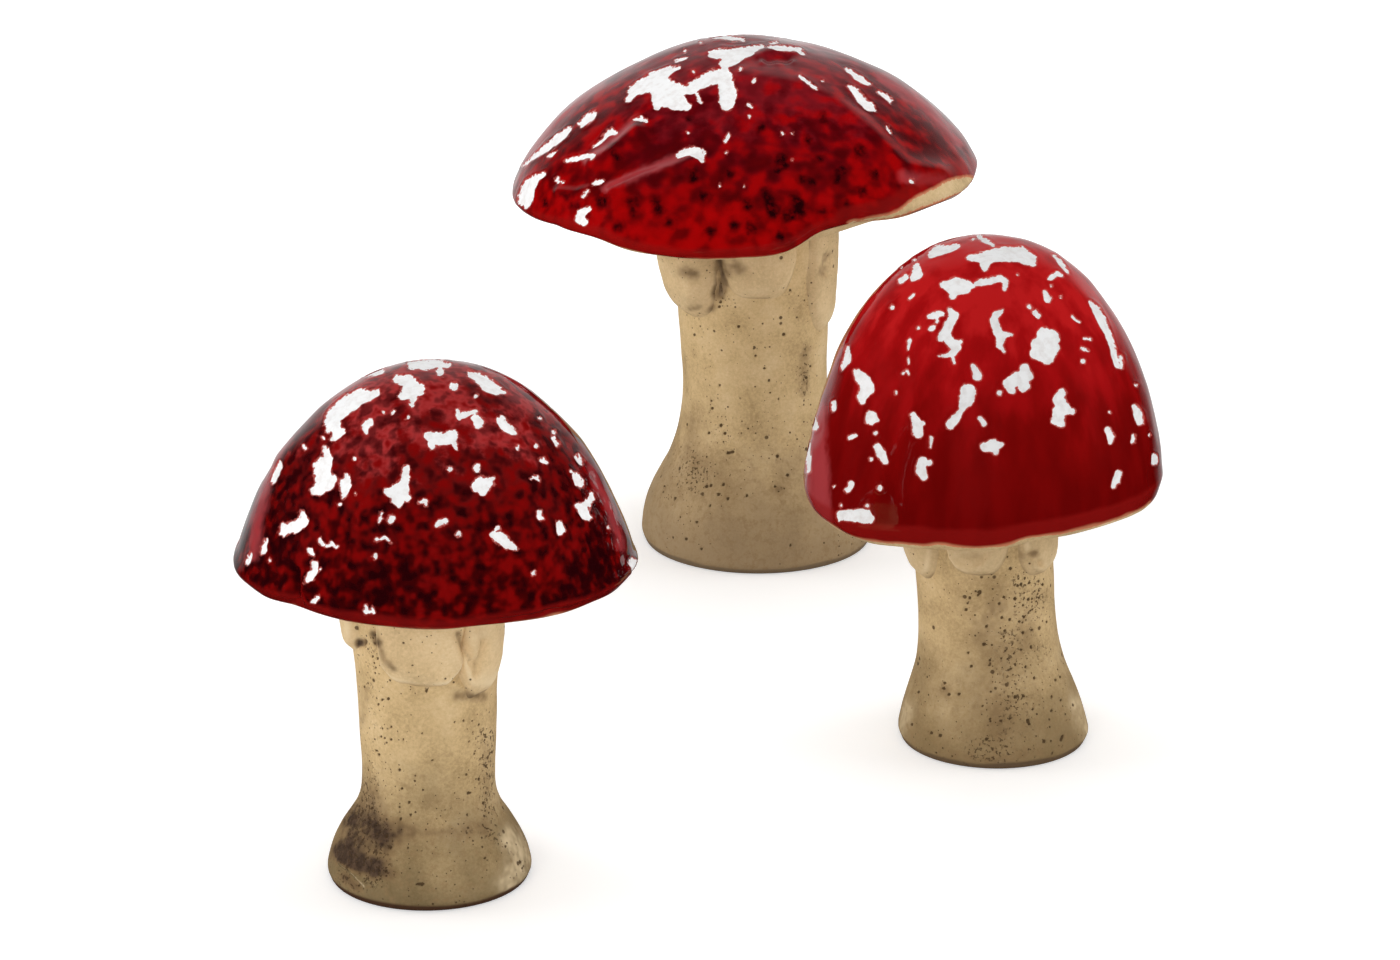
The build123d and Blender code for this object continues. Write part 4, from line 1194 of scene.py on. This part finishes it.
def make_floor():
    """A white floor that keeps the shadow and stays white to the camera."""
    mesh = bpy.data.meshes.new("floor")
    corners = [(x * FLOOR_REACH, y * FLOOR_REACH, 0) for x, y in ((-1, -1), (1, -1), (1, 1), (-1, 1))]
    mesh.from_pydata(corners, [], [(0, 1, 2, 3)])
    floor = bpy.data.objects.new("floor", mesh)
    bpy.context.scene.collection.objects.link(floor)
    material = bpy.data.materials.new("floor")
    mesh.materials.append(material)
    nodes = Nodes(material)
    nodes.tree.nodes.clear()
    path = nodes.node("ShaderNodeLightPath").outputs
    place = nodes.node("ShaderNodeNewGeometry").outputs["Position"]
    far = nodes.node("ShaderNodeVectorMath", {0: place}, operation="LENGTH").outputs["Value"]
    strength = nodes.between(far, *FLOOR_GLOW, easing="LINEAR")
    glow = nodes.node("ShaderNodeEmission", {"Strength": strength}).outputs[0]
    shown = nodes.node("ShaderNodeBsdfDiffuse", {"Color": FLOOR_SHOWN}).outputs[0]
    plain = nodes.node("ShaderNodeBsdfDiffuse", {"Color": FLOOR_PLAIN}).outputs[0]
    clear = nodes.node("ShaderNodeBsdfTransparent").outputs[0]
    to_camera = nodes.node("ShaderNodeAddShader", {0: shown, 1: glow}).outputs[0]
    to_others = nodes.choose(path["Is Glossy Ray"], plain, clear)
    surface = nodes.choose(path["Is Camera Ray"], to_others, to_camera)
    nodes.node("ShaderNodeOutputMaterial", {"Surface": surface})


def make_world():
    """White to the camera and behind the object, and dark in front where the glaze mirrors it."""
    world = bpy.data.worlds.new("tent")
    bpy.context.scene.world = world
    nodes = Nodes(world)
    nodes.tree.nodes.clear()
    path = nodes.node("ShaderNodeLightPath").outputs
    way = nodes.node("ShaderNodeTexCoord").outputs["Generated"]
    lean = nodes.node("ShaderNodeVectorMath", {0: way, 1: TENT_WAY}, operation="DOT_PRODUCT")
    height = nodes.node("ShaderNodeSeparateXYZ", {0: way}).outputs["Z"]
    tent = nodes.maths("MULTIPLY", nodes.between(lean.outputs["Value"], *TENT_EDGE),
                       nodes.between(height, *TENT_FALL, easing="LINEAR"))
    mirrored, soft, white = (
        nodes.node("ShaderNodeBackground", {"Color": WHITE, "Strength": strength}).outputs[0]
        for strength in (tent, AMBIENT, 1.0))
    to_others = nodes.choose(path["Is Glossy Ray"], soft, mirrored)
    surface = nodes.choose(path["Is Camera Ray"], to_others, white)
    nodes.node("ShaderNodeOutputWorld", {"Surface": surface})


def make_lights():
    for name, (at, aim, (width, height), glow) in LAMPS.items():
        lamp = bpy.data.lights.new(name, "AREA")
        lamp.shape = "RECTANGLE"
        lamp.size = width
        lamp.size_y = height
        lamp.energy = glow * math.pi * width * height
        panel = bpy.data.objects.new(name, lamp)
        panel.location = at
        panel.rotation_euler = (Vector(aim) - Vector(at)).to_track_quat("-Z", "Y").to_euler()
        panel.visible_camera = False
        panel.visible_glossy = False
        bpy.context.scene.collection.objects.link(panel)


make_camera()
make_floor()
make_world()
make_lights()

caps = {
    "domed_cap": dict(
        patches=DOMED_PATCHES, thin_and_sheen_strokes=DOMED_THIN_AND_SHEEN, forms=DOMED_FORMS, lip_waves=DOMED_LIP_WAVES,
        corner=0.9, glaze_line=5.9, ragged=1.2, seed=10, hidden=70),
    "bell_cap": dict(
        patches=BELL_PATCHES, thin_and_sheen_strokes=BELL_THIN_AND_SHEEN, forms=BELL_FORMS, lip_waves=BELL_LIP_WAVES,
        corner=0.2, glaze_line=5.0, ragged=0.8, seed=30, hidden=80),
    "broad_cap": dict(
        patches=BROAD_PATCHES, thin_and_sheen_strokes=BROAD_THIN_AND_SHEEN, forms=BROAD_FORMS, lip_waves=BROAD_LIP_WAVES,
        corner=0.3, glaze_line=4.7, ragged=1.1, seed=50, hidden=80,
        bare_lip=BROAD_BARE_LIP, pools=BROAD_POOLS),
}
# Each cap's reds, lip to crown, hold painted light at the crown and painted shade lower down
glazes = {
    "domed_cap": dict(
        reds_and_shading=((0.0, (0.055, 0.0008, 0.001)), (0.35, (0.068, 0.0012, 0.0014)), (0.65, (0.095, 0.003, 0.003)),
              (0.85, (0.14, 0.006, 0.006)), (1.0, (0.42, 0.035, 0.035))),
        torn_edge=0.28, slip_tone=0.94, mottle=((0.20, 0.002, 0.002), 0.95, 3.2)),
    "bell_cap": dict(
        reds_and_shading=((0.0, (0.13, 0.0012, 0.0012)), (0.4, (0.19, 0.002, 0.002)), (0.8, (0.34, 0.004, 0.005)),
              (1.0, (0.47, 0.010, 0.011))),
        torn_edge=0.18, slip_tone=0.82),
    "broad_cap": dict(
        reds_and_shading=((0.0, (0.34, 0.0012, 0.0015)), (0.3, (0.175, 0.0012, 0.002)), (0.75, (0.13, 0.0015, 0.004)),
              (1.0, (0.22, 0.008, 0.013))),
        torn_edge=0.28, slip_tone=0.95, mottle=((0.42, 0.0015, 0.002), 0.55, 5.0)),
}
for name, marks in caps.items():
    cap = dress_cap(name, **marks)
    cap.data.materials.append(glaze_paint(name + "_glaze", name, **glazes[name]))
    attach(cap, "root")
    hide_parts(name)

stem_marks = {
    "domed": dict(pits=DOMED_PITS, soil_and_shading=DOMED_SOIL_AND_SHADING, rough=DOMED_ROUGH, forms=DOMED_FINGERS, seed=110),
    "bell": dict(pits=BELL_PITS, soil_and_shading=BELL_SOIL_AND_SHADING, rough=BELL_ROUGH, forms=BELL_FINGERS, seed=130),
    "broad": dict(pits=BROAD_PITS, soil_and_shading=BROAD_SOIL_AND_SHADING, rough=BROAD_ROUGH, forms=BROAD_FINGERS, seed=150),
}
wads = {
    "domed": dict(soft=14, rim_height=0.6),
    "bell": dict(soft=30, rim_height=0.35),
    "broad": dict(soft=40, rim_height=0.2),
}
# how pale the clay is, and its lower end
clays = {
    "domed": (1.0, dict(low_tone=(0.108, 0.076, 0.034), low_height=50, foot=(0.075, 0.035, 0.018))),
    "bell": (0.92, dict(low_tone=(0.17, 0.112, 0.050), low_height=46, foot=(0.14, 0.09, 0.05))),
    "broad": (0.98, dict(low_tone=(0.27, 0.185, 0.105), low_height=62, foot=(0.20, 0.14, 0.085))),
}
for mushroom, (pale, lower) in clays.items():
    tones = [[pale * part for part in tone] for tone in STONEWARE]
    clay = stoneware_paint(mushroom + "_stoneware", tones, **lower)
    tones = [[pale ** 2 * part for part in tone] for tone in LUTING_CLAY]
    luting = stoneware_paint(mushroom + "_luting_clay", tones, **lower)
    stem = Stem(mushroom + "_stem")
    marks = stem_marks[mushroom]
    piece = make_stem(stem, **marks)
    piece.data.materials.append(clay)
    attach(piece, "root")
    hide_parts(stem.name)
    for k, side in enumerate(("front", "right", "left", "back")):
        name = f"{mushroom}_wad_{side}"
        piece = make_wad(name, stem, marks["soil_and_shading"], marks["forms"],
                         seed=marks["seed"] + 10 * k, **wads[mushroom])
        piece.data.materials.append(luting)
        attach(piece, "root")
        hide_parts(name)
    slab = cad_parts[mushroom + "_underside"]
    slab.data.materials.clear()
    slab.data.materials.append(clay)
